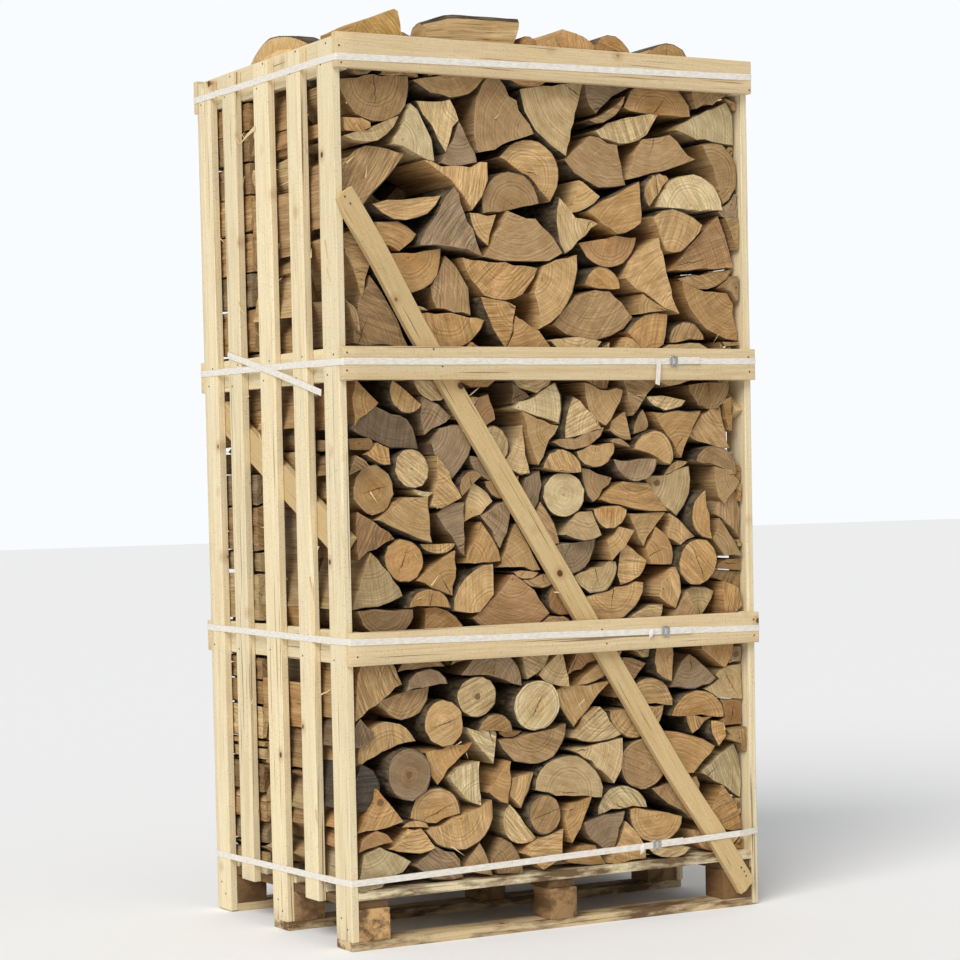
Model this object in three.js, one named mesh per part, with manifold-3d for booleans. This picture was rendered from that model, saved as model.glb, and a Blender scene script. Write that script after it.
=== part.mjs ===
// A strapped pallet crate filled with split firewood.
// Millimetres, +Z up, +X to the right and -Y towards the front.
// Boards are given by their nominal faces and drawn a little smaller, so that no two of them share a face.

import * as THREE from 'three';
import { mergeVertices } from 'three/addons/utils/BufferGeometryUtils.js';
import Module from 'manifold-3d';

const wasm = await Module();
wasm.setup();

// Driving dimensions
const WIDTH = 1200;
const PALLET_DEPTH = 800;
const HEIGHT = 2200;
const CLEARANCE = 0.3;
const RAIL_THICKNESS = 22;
const SLAT_THICKNESS = 20;
const POST_WIDTH = 85;
const SLAT_WIDTH = 78;
const SKID_TOP = 22;
const BLOCK_TOP = 100;
const STRINGER_TOP = 122;
const DECK_TOP = 144;
const SLAT_TOP = HEIGHT - 10;
const STRAP_WIDTH = 16;
const STRAP_THICKNESS = 1;
const BUCKLE_THICKNESS = 3.4;

const HALF_WIDTH = WIDTH / 2;
const HALF_DEPTH = PALLET_DEPTH / 2;
const INSIDE = HALF_WIDTH - SLAT_THICKNESS;
const RAIL_FACE = HALF_DEPTH + RAIL_THICKNESS;

// Heights of the three levels of rails, from the lower to the upper edge
const RAIL_LEVELS = {
  top: [HEIGHT - 84, HEIGHT],
  upper: [1378, 1459],
  lower: [693, 774],
};

// Colour, roughness and metalness of each material
const FINISHES = {
  pine: [0xe3cf9f, 0.75, 0],
  weathered: [0xb9996c, 0.85, 0],
  firewood: [0xb08a5a, 0.9, 0],
  strap: [0xece6da, 0.6, 0],
  steel: [0xc3c5c4, 0.35, 1],
};

const crate = new THREE.Group();

function place(name, finish, geometry, parent = crate) {
  const [color, roughness, metalness] = FINISHES[finish];
  const mesh = new THREE.Mesh(geometry, new THREE.MeshStandardMaterial({ color, roughness, metalness }));
  mesh.name = name;
  parent.add(mesh);
  return mesh;
}

// A sawn board between nominal faces: x, y and z are each [low, high]
function boardGeometry(x, y, z, grow = -CLEARANCE / 2) {
  const size = [x, y, z].map(([low, high]) => high - low + 2 * grow);
  const centre = [x, y, z].map(([low, high]) => (low + high) / 2);
  return new THREE.BoxGeometry(...size).translate(...centre);
}

function board(name, finish, x, y, z, parent) {
  return place(name, finish, boardGeometry(x, y, z), parent);
}

// An outline of [x, z] points pushed from y = front to y = back
function slabGeometry(outline, front, back) {
  const shape = new THREE.Shape(outline.map(([x, z]) => new THREE.Vector2(x, z)));
  const geometry = new THREE.ExtrudeGeometry(shape, { depth: back - front, bevelEnabled: false });
  return geometry.rotateX(Math.PI / 2).translate(0, back, 0);
}

// Closed geometry to a solid that can be cut, and back
function toManifold(geometry) {
  const bare = geometry.clone();
  bare.deleteAttribute('normal');
  bare.deleteAttribute('uv');
  const merged = mergeVertices(bare, 1e-4);
  const vertProperties = new Float32Array(merged.attributes.position.array);
  const triVerts = new Uint32Array(merged.index.array);
  return new wasm.Manifold(new wasm.Mesh({ numProp: 3, vertProperties, triVerts }));
}

function toGeometry(solid) {
  const { vertProperties, triVerts } = solid.getMesh();
  const geometry = new THREE.BufferGeometry();
  geometry.setAttribute('position', new THREE.BufferAttribute(new Float32Array(vertProperties), 3));
  geometry.setIndex(new THREE.BufferAttribute(new Uint32Array(triVerts), 1));
  geometry.computeVertexNormals();
  return geometry;
}

// ---- Pallet ----

const BLOCK_ROWS = {
  front: [-HALF_DEPTH, -HALF_DEPTH + POST_WIDTH],
  middle: [-40, 45],
  back: [HALF_DEPTH - POST_WIDTH, HALF_DEPTH],
};
const BLOCK_COLUMNS = { left: [-INSIDE, -495], middle: [-39, 39], right: [490, INSIDE] };
const STRINGER_SETBACK = 10;
const DECK_BOARDS = 5;
const DECK_BOARD_WIDTH = 100;

// Two diagonal corner posts run down to the ground, and the skids stop beside them
const SKID_SPANS = {
  front: [-HALF_WIDTH, INSIDE],
  middle: [-HALF_WIDTH, HALF_WIDTH],
  back: [-INSIDE, HALF_WIDTH],
};

for (const [row, y] of Object.entries(BLOCK_ROWS)) {
  board(`skid_${row}`, 'weathered', SKID_SPANS[row], y, [0, SKID_TOP]);
  for (const [column, x] of Object.entries(BLOCK_COLUMNS)) {
    board(`block_${row}_${column}`, 'weathered', x, y, [SKID_TOP, BLOCK_TOP]);
  }
}

for (const [column, x] of Object.entries(BLOCK_COLUMNS)) {
  const y = [-HALF_DEPTH + STRINGER_SETBACK, HALF_DEPTH - STRINGER_SETBACK];
  board(`stringer_${column}`, 'weathered', x, y, [BLOCK_TOP, STRINGER_TOP]);
}

const deckPitch = (PALLET_DEPTH - DECK_BOARD_WIDTH) / (DECK_BOARDS - 1);
for (let i = 0; i < DECK_BOARDS; i += 1) {
  const front = -HALF_DEPTH + i * deckPitch;
  const y = [front, front + DECK_BOARD_WIDTH];
  board(`deck_${i + 1}`, 'weathered', [-INSIDE, INSIDE], y, [STRINGER_TOP, DECK_TOP]);
}

// ---- Slatted sides ----
// The left side is drawn in place; the right side is the same one turned half round.

const GROUND_POST_FOOT = 3;
const UPRIGHTS = {
  post_front: { y: [-HALF_DEPTH, -HALF_DEPTH + POST_WIDTH], foot: SKID_TOP },
  slat_front: { y: [-222, -222 + SLAT_WIDTH], foot: BLOCK_TOP },
  post_middle: { y: [-36, -36 + POST_WIDTH], foot: SKID_TOP },
  slat_back: { y: [162, 162 + SLAT_WIDTH], foot: BLOCK_TOP },
  post_back: { y: [HALF_DEPTH - POST_WIDTH, HALF_DEPTH], foot: GROUND_POST_FOOT },
};
const SIDE_BRACE = { backY: 358, backZ: 1328, frontY: -362, frontZ: 975, width: 78, thickness: 20 };

// A parallelogram board with upright ends, leaning down towards the front
function sideBraceGeometry(outer, inner, grow) {
  const rise = SIDE_BRACE.backZ - SIDE_BRACE.frontZ;
  const run = SIDE_BRACE.backY - SIDE_BRACE.frontY;
  const half = (SIDE_BRACE.width / 2 + grow) * Math.hypot(rise, run) / run;
  const outline = [
    [SIDE_BRACE.frontY - grow, SIDE_BRACE.frontZ - half],
    [SIDE_BRACE.backY + grow, SIDE_BRACE.backZ - half],
    [SIDE_BRACE.backY + grow, SIDE_BRACE.backZ + half],
    [SIDE_BRACE.frontY - grow, SIDE_BRACE.frontZ + half],
  ];
  return slabGeometry(outline, -inner, -outer).rotateZ(Math.PI / 2);
}

for (const side of ['left', 'right']) {
  const panel = new THREE.Group();
  panel.rotation.z = side === 'left' ? 0 : Math.PI;
  crate.add(panel);
  for (const [part, { y, foot }] of Object.entries(UPRIGHTS)) {
    board(`${side}_${part}`, 'pine', [-HALF_WIDTH, -INSIDE], y, [foot, SLAT_TOP], panel);
  }
  for (const [level, z] of Object.entries(RAIL_LEVELS)) {
    const x = [-INSIDE, -INSIDE + RAIL_THICKNESS];
    board(`${side}_rail_${level}`, 'pine', x, [-HALF_DEPTH, HALF_DEPTH], z, panel);
  }
  const outer = -INSIDE + CLEARANCE;
  place(`${side}_brace`, 'pine', sideBraceGeometry(outer, outer + SIDE_BRACE.thickness, 0), panel);
}

// ---- Front and back ----
// Rails are nailed on the post edges. The long brace starts and ends in their layer, and bows inwards
// to pass behind the upper and the lower rail. The back is the front turned half round.

const BRACE = { width: 55, thickness: 20, top: [-587, 1823], bottom: [555, 50] };
const BOW = { depth: 23, start: 130, end: 420 };

// How far the brace stands inwards of the rails' layer at a distance s from its upper end
function braceBow(s, length) {
  return BOW.depth * THREE.MathUtils.smoothstep(Math.min(s, length - s), BOW.start, BOW.end);
}

// The bowed profile is pushed across the board's width, then leaned over to run between its two ends.
// Its upper corner is sawn off flush with the post.
function braceGeometry(front, back, width) {
  const [topX, topZ] = BRACE.top;
  const [bottomX, bottomZ] = BRACE.bottom;
  const length = Math.hypot(bottomX - topX, topZ - bottomZ);
  const steps = 48;
  const outline = [];
  for (let i = 0; i <= steps; i += 1) {
    const s = (length * i) / steps;
    outline.push(new THREE.Vector2(s, front + braceBow(s, length)));
  }
  for (let i = steps; i >= 0; i -= 1) {
    const s = (length * i) / steps;
    outline.push(new THREE.Vector2(s, back + braceBow(s, length)));
  }
  const profile = new THREE.Shape(outline);
  const geometry = new THREE.ExtrudeGeometry(profile, { depth: width, bevelEnabled: false });
  geometry.translate(0, 0, -width / 2);
  geometry.rotateY(Math.atan2(topZ - bottomZ, bottomX - topX)).translate(topX, 0, topZ);
  const beyond = boardGeometry([-HALF_WIDTH - width, -HALF_WIDTH], [-RAIL_FACE - 1, 0], [0, HEIGHT], 0);
  return toGeometry(toManifold(geometry).subtract(toManifold(beyond)));
}

for (const face of ['front', 'back']) {
  const panel = new THREE.Group();
  panel.rotation.z = face === 'front' ? 0 : Math.PI;
  crate.add(panel);
  for (const [level, z] of Object.entries(RAIL_LEVELS)) {
    const y = [-RAIL_FACE, -HALF_DEPTH];
    board(`${face}_rail_${level}`, 'pine', [-HALF_WIDTH, HALF_WIDTH], y, z, panel);
  }
  const inner = -HALF_DEPTH - CLEARANCE;
  place(`${face}_brace`, 'pine', braceGeometry(inner - BRACE.thickness, inner, BRACE.width), panel);
}

// ---- Straps and buckles ----
// Each strap is a level loop sheared to the slope it lies at: its middle height at the front left corner,
// and its rise along the front and along the left side.

const STRAPS = {
  top: { height: 2142, alongFront: 17, alongSide: 8 },
  upper: { height: 1423, alongFront: 4, alongSide: 8 },
  lower: { height: 752, alongFront: -21, alongSide: 4 },
  bottom: { height: 166, alongFront: 31, alongSide: -17 },
};
const BUCKLES = { upper: 343, lower: 305, bottom: 270 };
const BUCKLE = { width: 24, height: 27, wire: 3.2 };
const BULGE = { start: 400, end: 530, depth: 20.5 };

// The corners of a loop round the crate, a given distance outside its nominal faces
function loopCorners(level, out) {
  const x = HALF_WIDTH + out;
  if (level !== 'bottom') {
    const y = RAIL_FACE + out;
    return [[-x, -y], [x, -y], [x, y], [-x, y]];
  }
  // The lowest strap lies on the post edges and bulges over each long brace
  const y = HALF_DEPTH + out;
  const proud = y + BULGE.depth;
  const half = [[-x, -y], [BULGE.start, -proud], [BULGE.end, -proud], [x, -y]];
  return [...half, ...half.map(([a, b]) => [-a, -b])];
}

function strapHeight({ height, alongFront, alongSide }, x, y) {
  return height + (alongFront * (x + HALF_WIDTH)) / WIDTH + (alongSide * (y + HALF_DEPTH)) / PALLET_DEPTH;
}

for (const [level, slope] of Object.entries(STRAPS)) {
  const toVector = ([x, y]) => new THREE.Vector2(x, y);
  const loop = new THREE.Shape(loopCorners(level, CLEARANCE + STRAP_THICKNESS).map(toVector));
  loop.holes.push(new THREE.Path(loopCorners(level, CLEARANCE).map(toVector).reverse()));
  const band = new THREE.ExtrudeGeometry(loop, { depth: STRAP_WIDTH, bevelEnabled: false });
  const points = band.attributes.position;
  for (let i = 0; i < points.count; i += 1) {
    const lift = strapHeight(slope, points.getX(i), points.getY(i)) - STRAP_WIDTH / 2;
    points.setZ(i, points.getZ(i) + lift);
  }
  place(`strap_${level}`, 'strap', band);
}

// The distance of a strap's outer face from the middle of the crate, at x along the front
function strapFace(level, x) {
  const corners = loopCorners(level, CLEARANCE + STRAP_THICKNESS);
  const after = corners.findIndex(([cornerX]) => cornerX > x);
  const [[x0, y0], [x1, y1]] = [corners[after - 1], corners[after]];
  return y0 + ((y1 - y0) * (x - x0)) / (x1 - x0);
}

for (const [level, x] of Object.entries(BUCKLES)) {
  const z = strapHeight(STRAPS[level], x, -HALF_DEPTH);
  const w = BUCKLE.width / 2;
  const h = BUCKLE.height / 2;
  const outline = [[x - w, z - h], [x + w, z - h], [x + w, z + h], [x - w, z + h]];
  const ring = new THREE.Shape(outline.map((point) => new THREE.Vector2(...point)));
  const wire = BUCKLE.wire;
  const inside = [
    [x - w + wire, z - h + wire],
    [x - w + wire, z + h - wire],
    [x + w - wire, z + h - wire],
    [x + w - wire, z - h + wire],
  ];
  ring.holes.push(new THREE.Path(inside.map((point) => new THREE.Vector2(...point))));
  const geometry = new THREE.ExtrudeGeometry(ring, { depth: BUCKLE_THICKNESS, bevelEnabled: false });
  const face = Math.min(strapFace(level, x - w), strapFace(level, x + w)) - CLEARANCE;
  geometry.rotateX(Math.PI / 2).translate(0, face, 0);
  place(`buckle_${level}`, 'steel', geometry);
}

// A loose band end, flat on the left slats and crossing over the upper strap
const LOOSE_END = { backY: 240, backZ: 1471, frontY: -305, frontZ: 1352 };
const looseOuter = HALF_WIDTH + 2 * (CLEARANCE + STRAP_THICKNESS);
const looseOutline = [
  [LOOSE_END.frontY, LOOSE_END.frontZ - STRAP_WIDTH / 2],
  [LOOSE_END.backY, LOOSE_END.backZ - STRAP_WIDTH / 2],
  [LOOSE_END.backY, LOOSE_END.backZ + STRAP_WIDTH / 2],
  [LOOSE_END.frontY, LOOSE_END.frontZ + STRAP_WIDTH / 2],
];
const looseBand = slabGeometry(looseOutline, looseOuter - STRAP_THICKNESS, looseOuter);
place('strap_loose_end', 'strap', looseBand.rotateZ(Math.PI / 2));

// ---- Firewood ----
// Three rows of stacked logs, each one solid that reaches the tips of its logs. The rails and braces
// that press into a row are cut out of it with a little room.

const ROW_GAP = 1;
const LOAD_FRONT = -HALF_DEPTH + 2;
const ROW_DEPTH = (2 * -LOAD_FRONT - 2 * ROW_GAP) / 3;
const LOAD_HALF_WIDTH = INSIDE - 1;
const BED = HEIGHT - 0.5;

// Top edge of each row from left to right, as [x, height above the bed on which loose logs lie]
const HEAPS = {
  front: [
    [-72, 0], [-60, 28], [47, 51], [108, 36], [150, 12], [165, 40], [215, 44], [252, 13], [300, 2],
    [338, 33], [385, 36], [425, 4], [LOAD_HALF_WIDTH, -10],
  ],
  middle: [
    [-420, 0], [-390, 40], [-300, 72], [-190, 60], [-90, 30], [-40, 58], [110, 66], [230, 30],
    [300, 50], [420, 42], [LOAD_HALF_WIDTH, -5],
  ],
  back: [
    [-470, 0], [-430, 22], [-320, 60], [-200, 34], [-150, 62], [0, 54], [70, 20], [130, 48],
    [300, 38], [460, 20], [LOAD_HALF_WIDTH, -10],
  ],
};

// Everything that presses into the load: side rails, side braces and the two long braces
const presses = [];
for (const turn of [0, Math.PI]) {
  for (const z of Object.values(RAIL_LEVELS)) {
    const x = [-INSIDE - 5, -INSIDE + RAIL_THICKNESS];
    presses.push(boardGeometry(x, [-HALF_DEPTH - 5, HALF_DEPTH + 5], z, CLEARANCE).rotateZ(turn));
  }
  const inner = -INSIDE + SIDE_BRACE.thickness + 2 * CLEARANCE;
  presses.push(sideBraceGeometry(-INSIDE - 5, inner, CLEARANCE).rotateZ(turn));
  presses.push(braceGeometry(-RAIL_FACE, -HALF_DEPTH + 1, BRACE.width + 4).rotateZ(turn));
}
const pressSolids = presses.map(toManifold);

Object.entries(HEAPS).forEach(([row, heap], i) => {
  const front = LOAD_FRONT + i * (ROW_DEPTH + ROW_GAP);
  const outline = [
    [-LOAD_HALF_WIDTH, DECK_TOP + CLEARANCE],
    [LOAD_HALF_WIDTH, DECK_TOP + CLEARANCE],
    ...heap.map(([x, rise]) => [x, BED + rise]).reverse(),
    [-LOAD_HALF_WIDTH, BED],
  ];
  let solid = toManifold(slabGeometry(outline, front, front + ROW_DEPTH));
  for (const press of pressSolids) {
    solid = solid.subtract(press);
  }
  place(`logs_${row}`, 'firewood', toGeometry(solid));
});

// Loose logs on top, resting on the left rail and on the rows.
// The flitch is a long arched slab lying front to back, its split face to the left.
const FLITCH = { front: -205, back: 181, rise: 50, left: -578, width: 95 };
const flitchChord = FLITCH.back - FLITCH.front;
const flitchRadius = (flitchChord ** 2 / 4 + FLITCH.rise ** 2) / (2 * FLITCH.rise);
const flitchHalfAngle = Math.asin(flitchChord / 2 / flitchRadius);
const flitchShape = new THREE.Shape();
flitchShape.absarc(
  (FLITCH.front + FLITCH.back) / 2,
  HEIGHT + CLEARANCE + FLITCH.rise - flitchRadius,
  flitchRadius,
  Math.PI / 2 - flitchHalfAngle,
  Math.PI / 2 + flitchHalfAngle,
);
const flitch = new THREE.ExtrudeGeometry(flitchShape, { depth: FLITCH.width, bevelEnabled: false });
flitch.rotateX(Math.PI / 2).rotateZ(Math.PI / 2).translate(FLITCH.left, 0, 0);
place('heap_flitch', 'firewood', flitch);

// The wedge lies front to back just behind the front rail, higher on its right
const wedgeOutline = [
  [-540, HEIGHT + CLEARANCE],
  [-408, HEIGHT + CLEARANCE],
  [-412, HEIGHT + 68],
  [-424, HEIGHT + 70],
  [-540, HEIGHT + 27],
];
place('heap_wedge', 'firewood', slabGeometry(wedgeOutline, -392, -208));

// The half round keeps its bark and lies along the front rail, to the right of the wedge
const HALF_ROUND = { left: -340, right: -76, y: -347, radiusY: 47, radiusZ: 76 };
const halfRoundShape = new THREE.Shape();
halfRoundShape.absellipse(
  HALF_ROUND.y,
  HEIGHT + CLEARANCE,
  HALF_ROUND.radiusY,
  HALF_ROUND.radiusZ,
  0,
  Math.PI,
);
const halfRoundLength = HALF_ROUND.right - HALF_ROUND.left;
const halfRound = new THREE.ExtrudeGeometry(halfRoundShape, { depth: halfRoundLength, bevelEnabled: false });
halfRound.rotateX(Math.PI / 2).rotateZ(Math.PI / 2).translate(HALF_ROUND.left, 0, 0);
place('heap_half_round', 'firewood', halfRound);

// The origin is under the middle of the whole, on the ground
const bounds = new THREE.Box3().setFromObject(crate);
const middle = bounds.getCenter(new THREE.Vector3());
crate.position.set(-middle.x, -middle.y, -bounds.min.z);

export default crate;
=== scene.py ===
"""A strapped pallet crate of split firewood, dressed around its CAD frame."""

import math

import bpy
import numpy as np
from mathutils import Matrix, Vector


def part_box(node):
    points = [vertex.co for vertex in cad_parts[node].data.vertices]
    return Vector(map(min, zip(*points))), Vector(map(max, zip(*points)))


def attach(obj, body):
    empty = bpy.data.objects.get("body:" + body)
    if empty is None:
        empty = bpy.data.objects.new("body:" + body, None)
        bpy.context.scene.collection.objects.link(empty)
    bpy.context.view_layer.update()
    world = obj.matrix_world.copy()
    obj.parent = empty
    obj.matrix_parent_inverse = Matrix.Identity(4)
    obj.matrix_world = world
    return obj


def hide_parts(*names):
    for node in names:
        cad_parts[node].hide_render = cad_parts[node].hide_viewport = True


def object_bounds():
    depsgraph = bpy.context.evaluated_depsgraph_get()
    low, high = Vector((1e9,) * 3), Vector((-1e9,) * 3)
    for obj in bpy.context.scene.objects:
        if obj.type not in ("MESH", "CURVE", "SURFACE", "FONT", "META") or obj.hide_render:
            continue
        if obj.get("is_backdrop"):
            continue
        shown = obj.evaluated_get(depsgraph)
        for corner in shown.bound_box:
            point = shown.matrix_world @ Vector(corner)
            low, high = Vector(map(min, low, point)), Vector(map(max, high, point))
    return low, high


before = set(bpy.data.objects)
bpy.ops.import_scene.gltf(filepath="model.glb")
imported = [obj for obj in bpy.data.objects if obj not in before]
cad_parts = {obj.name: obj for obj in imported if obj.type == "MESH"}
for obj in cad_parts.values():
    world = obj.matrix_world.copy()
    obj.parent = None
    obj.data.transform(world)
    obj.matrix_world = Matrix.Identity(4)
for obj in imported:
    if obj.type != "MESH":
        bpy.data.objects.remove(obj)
cad_box = [list(corner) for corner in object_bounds()]

# The crate is laid out in millimetres from the middle of the pallet, as its drawing is.
DECK_CORNER = (-579.85, -399.85, 122.15)
ORIGIN = np.array(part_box("deck_1")[0]) - np.array(DECK_CORNER) / 1000


def metres(points):
    """Crate millimetres to places in the row frame."""
    return np.asarray(points, float) / 1000 + ORIGIN


def millimetres(node):
    """A CAD node's lowest and highest corners in crate millimetres."""
    low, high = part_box(node)
    return (np.array(low) - ORIGIN) * 1000, (np.array(high) - ORIGIN) * 1000


def srgb(code):
    """A hex colour as linear red, green and blue."""
    parts = [int(code[i : i + 2], 16) / 255 for i in (1, 3, 5)]
    return np.array([c / 12.92 if c <= 0.04045 else ((c + 0.055) / 1.055) ** 2.4 for c in parts])


def rgba(code):
    """The same with an alpha of one, for a colour socket."""
    return (*srgb(code), 1.0)


# ---- Camera, light and floor ----

# The eye stands about 6.8 m from the crate, to the left of its front. Angles are in radians.
EYE = (-3.3676, -5.9340, 1.1359)
YAW, PITCH, ROLL = 0.5057, -0.0546, -0.0211
FOCAL_LENGTH = 96.79
LENS_SHIFT = (0.0279, 0.1464)
forward = Vector((math.sin(YAW) * math.cos(PITCH), math.cos(YAW) * math.cos(PITCH), math.sin(PITCH)))
level = Vector((math.cos(YAW), -math.sin(YAW), 0))
upward = level.cross(forward)
camera_x = level * math.cos(ROLL) + upward * math.sin(ROLL)
camera_y = upward * math.cos(ROLL) - level * math.sin(ROLL)
lens = bpy.data.cameras.new("camera")
lens.lens = FOCAL_LENGTH
lens.sensor_width = 36
lens.shift_x, lens.shift_y = LENS_SHIFT
camera = bpy.data.objects.new("camera", lens)
turn = Matrix((camera_x, camera_y, -forward)).transposed().to_4x4()
camera.matrix_world = Matrix.Translation(EYE) @ turn
bpy.context.scene.collection.objects.link(camera)
bpy.context.scene.camera = camera


def node(tree, kind, links=None, out=None, **settings):
    """Adds a node. links gives each input a socket to join or a value to hold, and out picks the output
    to hand back."""
    new = tree.nodes.new(kind)
    for key, value in settings.items():
        setattr(new, key, value)
    for key, value in (links or {}).items():
        if isinstance(value, bpy.types.NodeSocket):
            tree.links.new(value, new.inputs[key])
        else:
            new.inputs[key].default_value = value
    return new if out is None else new.outputs[out]


# A soft grey dome lights the crate, and the eye sees it as a white studio wall
world = bpy.data.worlds.new("studio")
world.use_nodes = True
world.node_tree.nodes.clear()
seen = node(world.node_tree, "ShaderNodeLightPath", out="Is Camera Ray")
strength = node(world.node_tree, "ShaderNodeMapRange", {0: seen, 3: 0.47, 4: 1.0}, 0)
wall = {"Color": (0.95, 0.97, 1.0, 1), "Strength": strength}
studio = node(world.node_tree, "ShaderNodeBackground", wall, 0)
node(world.node_tree, "ShaderNodeOutputWorld", {"Surface": studio})
bpy.context.scene.world = world
bpy.context.scene.view_settings.view_transform = "Standard"

# One broad soft light comes from the left, the front and above
window = bpy.data.lights.new("window", "SUN")
window.energy = 2.45
window.angle = math.radians(38)
window.color = (1.0, 0.985, 0.955)
window_light = bpy.data.objects.new("window", window)
window_light.rotation_euler = Vector((-0.62, -0.47, 0.63)).to_track_quat("Z", "Y").to_euler()
bpy.context.scene.collection.objects.link(window_light)

floor_mesh = bpy.data.meshes.new("floor")
floor_corners = [(-40, -40, 0), (40, -40, 0), (40, 40, 0), (-40, 40, 0)]
floor_mesh.from_pydata(floor_corners, [], [(0, 1, 2, 3)])
floor = bpy.data.objects.new("floor", floor_mesh)
bpy.context.scene.collection.objects.link(floor)
floor_paint = bpy.data.materials.new("pale floor paint")
floor_paint.use_nodes = True
matt_paint = floor_paint.node_tree.nodes["Principled BSDF"].inputs
matt_paint["Base Color"].default_value = (0.93, 0.93, 0.93, 1)
matt_paint["Roughness"].default_value = 0.9
floor_mesh.materials.append(floor_paint)
floor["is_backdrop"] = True


# ---- Gathering closed solids into one piece ----

LAYER_KINDS = {
    "grain": ("FLOAT_VECTOR", "vector"),
    "tint": ("FLOAT_COLOR", "color"),
    "saw": ("FLOAT_VECTOR", "vector"),
    "check": ("FLOAT_VECTOR", "vector"),
    "rim": ("FLOAT", "value"),
}


class Stock:
    """Closed solids that end up in one mesh, with the values their finishes read at each point."""

    def __init__(self, *layers):
        self.points = []
        self.faces = []
        self.finish = []
        self.layers = {name: [] for name in layers}
        self.count = 0

    def add(self, points, faces, finish, **layers):
        """Takes in one solid. finish is a material's number, or a list with one for each face."""
        self.points.append(np.asarray(points, float))
        start = self.count
        self.faces.extend([tuple(i + start for i in face) for face in faces])
        self.finish.extend(finish if isinstance(finish, list) else [finish] * len(faces))
        for name, values in layers.items():
            self.layers[name].append(np.asarray(values, np.float32))
        self.count += len(points)

    def piece(self, name, materials, slot, nodes, sharp=38):
        """Makes the mesh, which stands for the CAD nodes named and rides on the crate."""
        mesh = bpy.data.meshes.new(name)
        mesh.from_pydata(metres(np.concatenate(self.points)).tolist(), [], self.faces)
        for material in materials:
            mesh.materials.append(material)
        mesh.polygons.foreach_set("material_index", self.finish)
        mesh.shade_smooth()
        mesh.set_sharp_from_angle(angle=math.radians(sharp))
        for layer, values in self.layers.items():
            kind, field = LAYER_KINDS[layer]
            data = mesh.attributes.new(layer, kind, "POINT").data
            data.foreach_set(field, np.concatenate(values).ravel())
        mesh.update()
        made = bpy.data.objects.new(name, mesh)
        bpy.context.scene.collection.objects.link(made)
        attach(made, "root")
        if nodes:
            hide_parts(*nodes)
        return made


def loft_faces(rings, around, flip=False):
    """Faces of a closed loft: a centre point, the rings, and a centre point at the far end."""
    faces = []
    last = 1 + rings * around
    for i in range(around):
        j = (i + 1) % around
        faces.append((0, 1 + j, 1 + i))
        for ring in range(rings - 1):
            near = 1 + ring * around
            far = near + around
            faces.append((near + i, near + j, far + j, far + i))
        faces.append((last, last - around + i, last - around + j))
    return [face[::-1] for face in faces] if flip else faces


def wander(rng, knots, stations, size):
    """A slow random wave over a number of stations."""
    values = rng.normal(0, size, knots)
    return np.interp(np.linspace(0, knots - 1, stations), np.arange(knots), values)


# ---- Finishes ----


def blank(name):
    """A material with an empty tree, its Principled shader and its output."""
    material = bpy.data.materials.new(name)
    material.use_nodes = True
    tree = material.node_tree
    tree.nodes.clear()
    shader = node(tree, "ShaderNodeBsdfPrincipled")
    node(tree, "ShaderNodeOutputMaterial", {"Surface": shader.outputs[0]})
    return material, tree, shader


# Node kinds and settings that the finishes use again and again
READ = "ShaderNodeAttribute"
MATH = "ShaderNodeMath"
VECTOR = "ShaderNodeVectorMath"
NOISE = "ShaderNodeTexNoise"
RANGE = "ShaderNodeMapRange"
MIX = "ShaderNodeMix"
SPLIT = "ShaderNodeSeparateXYZ"
GREY = "ShaderNodeCombineColor"
TIMES = {"operation": "MULTIPLY"}
PLUS = {"operation": "MULTIPLY_ADD"}
LESS = {"operation": "SUBTRACT"}
BLEND = {"data_type": "RGBA"}
TINTED = {"data_type": "RGBA", "blend_type": "MULTIPLY"}


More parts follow.
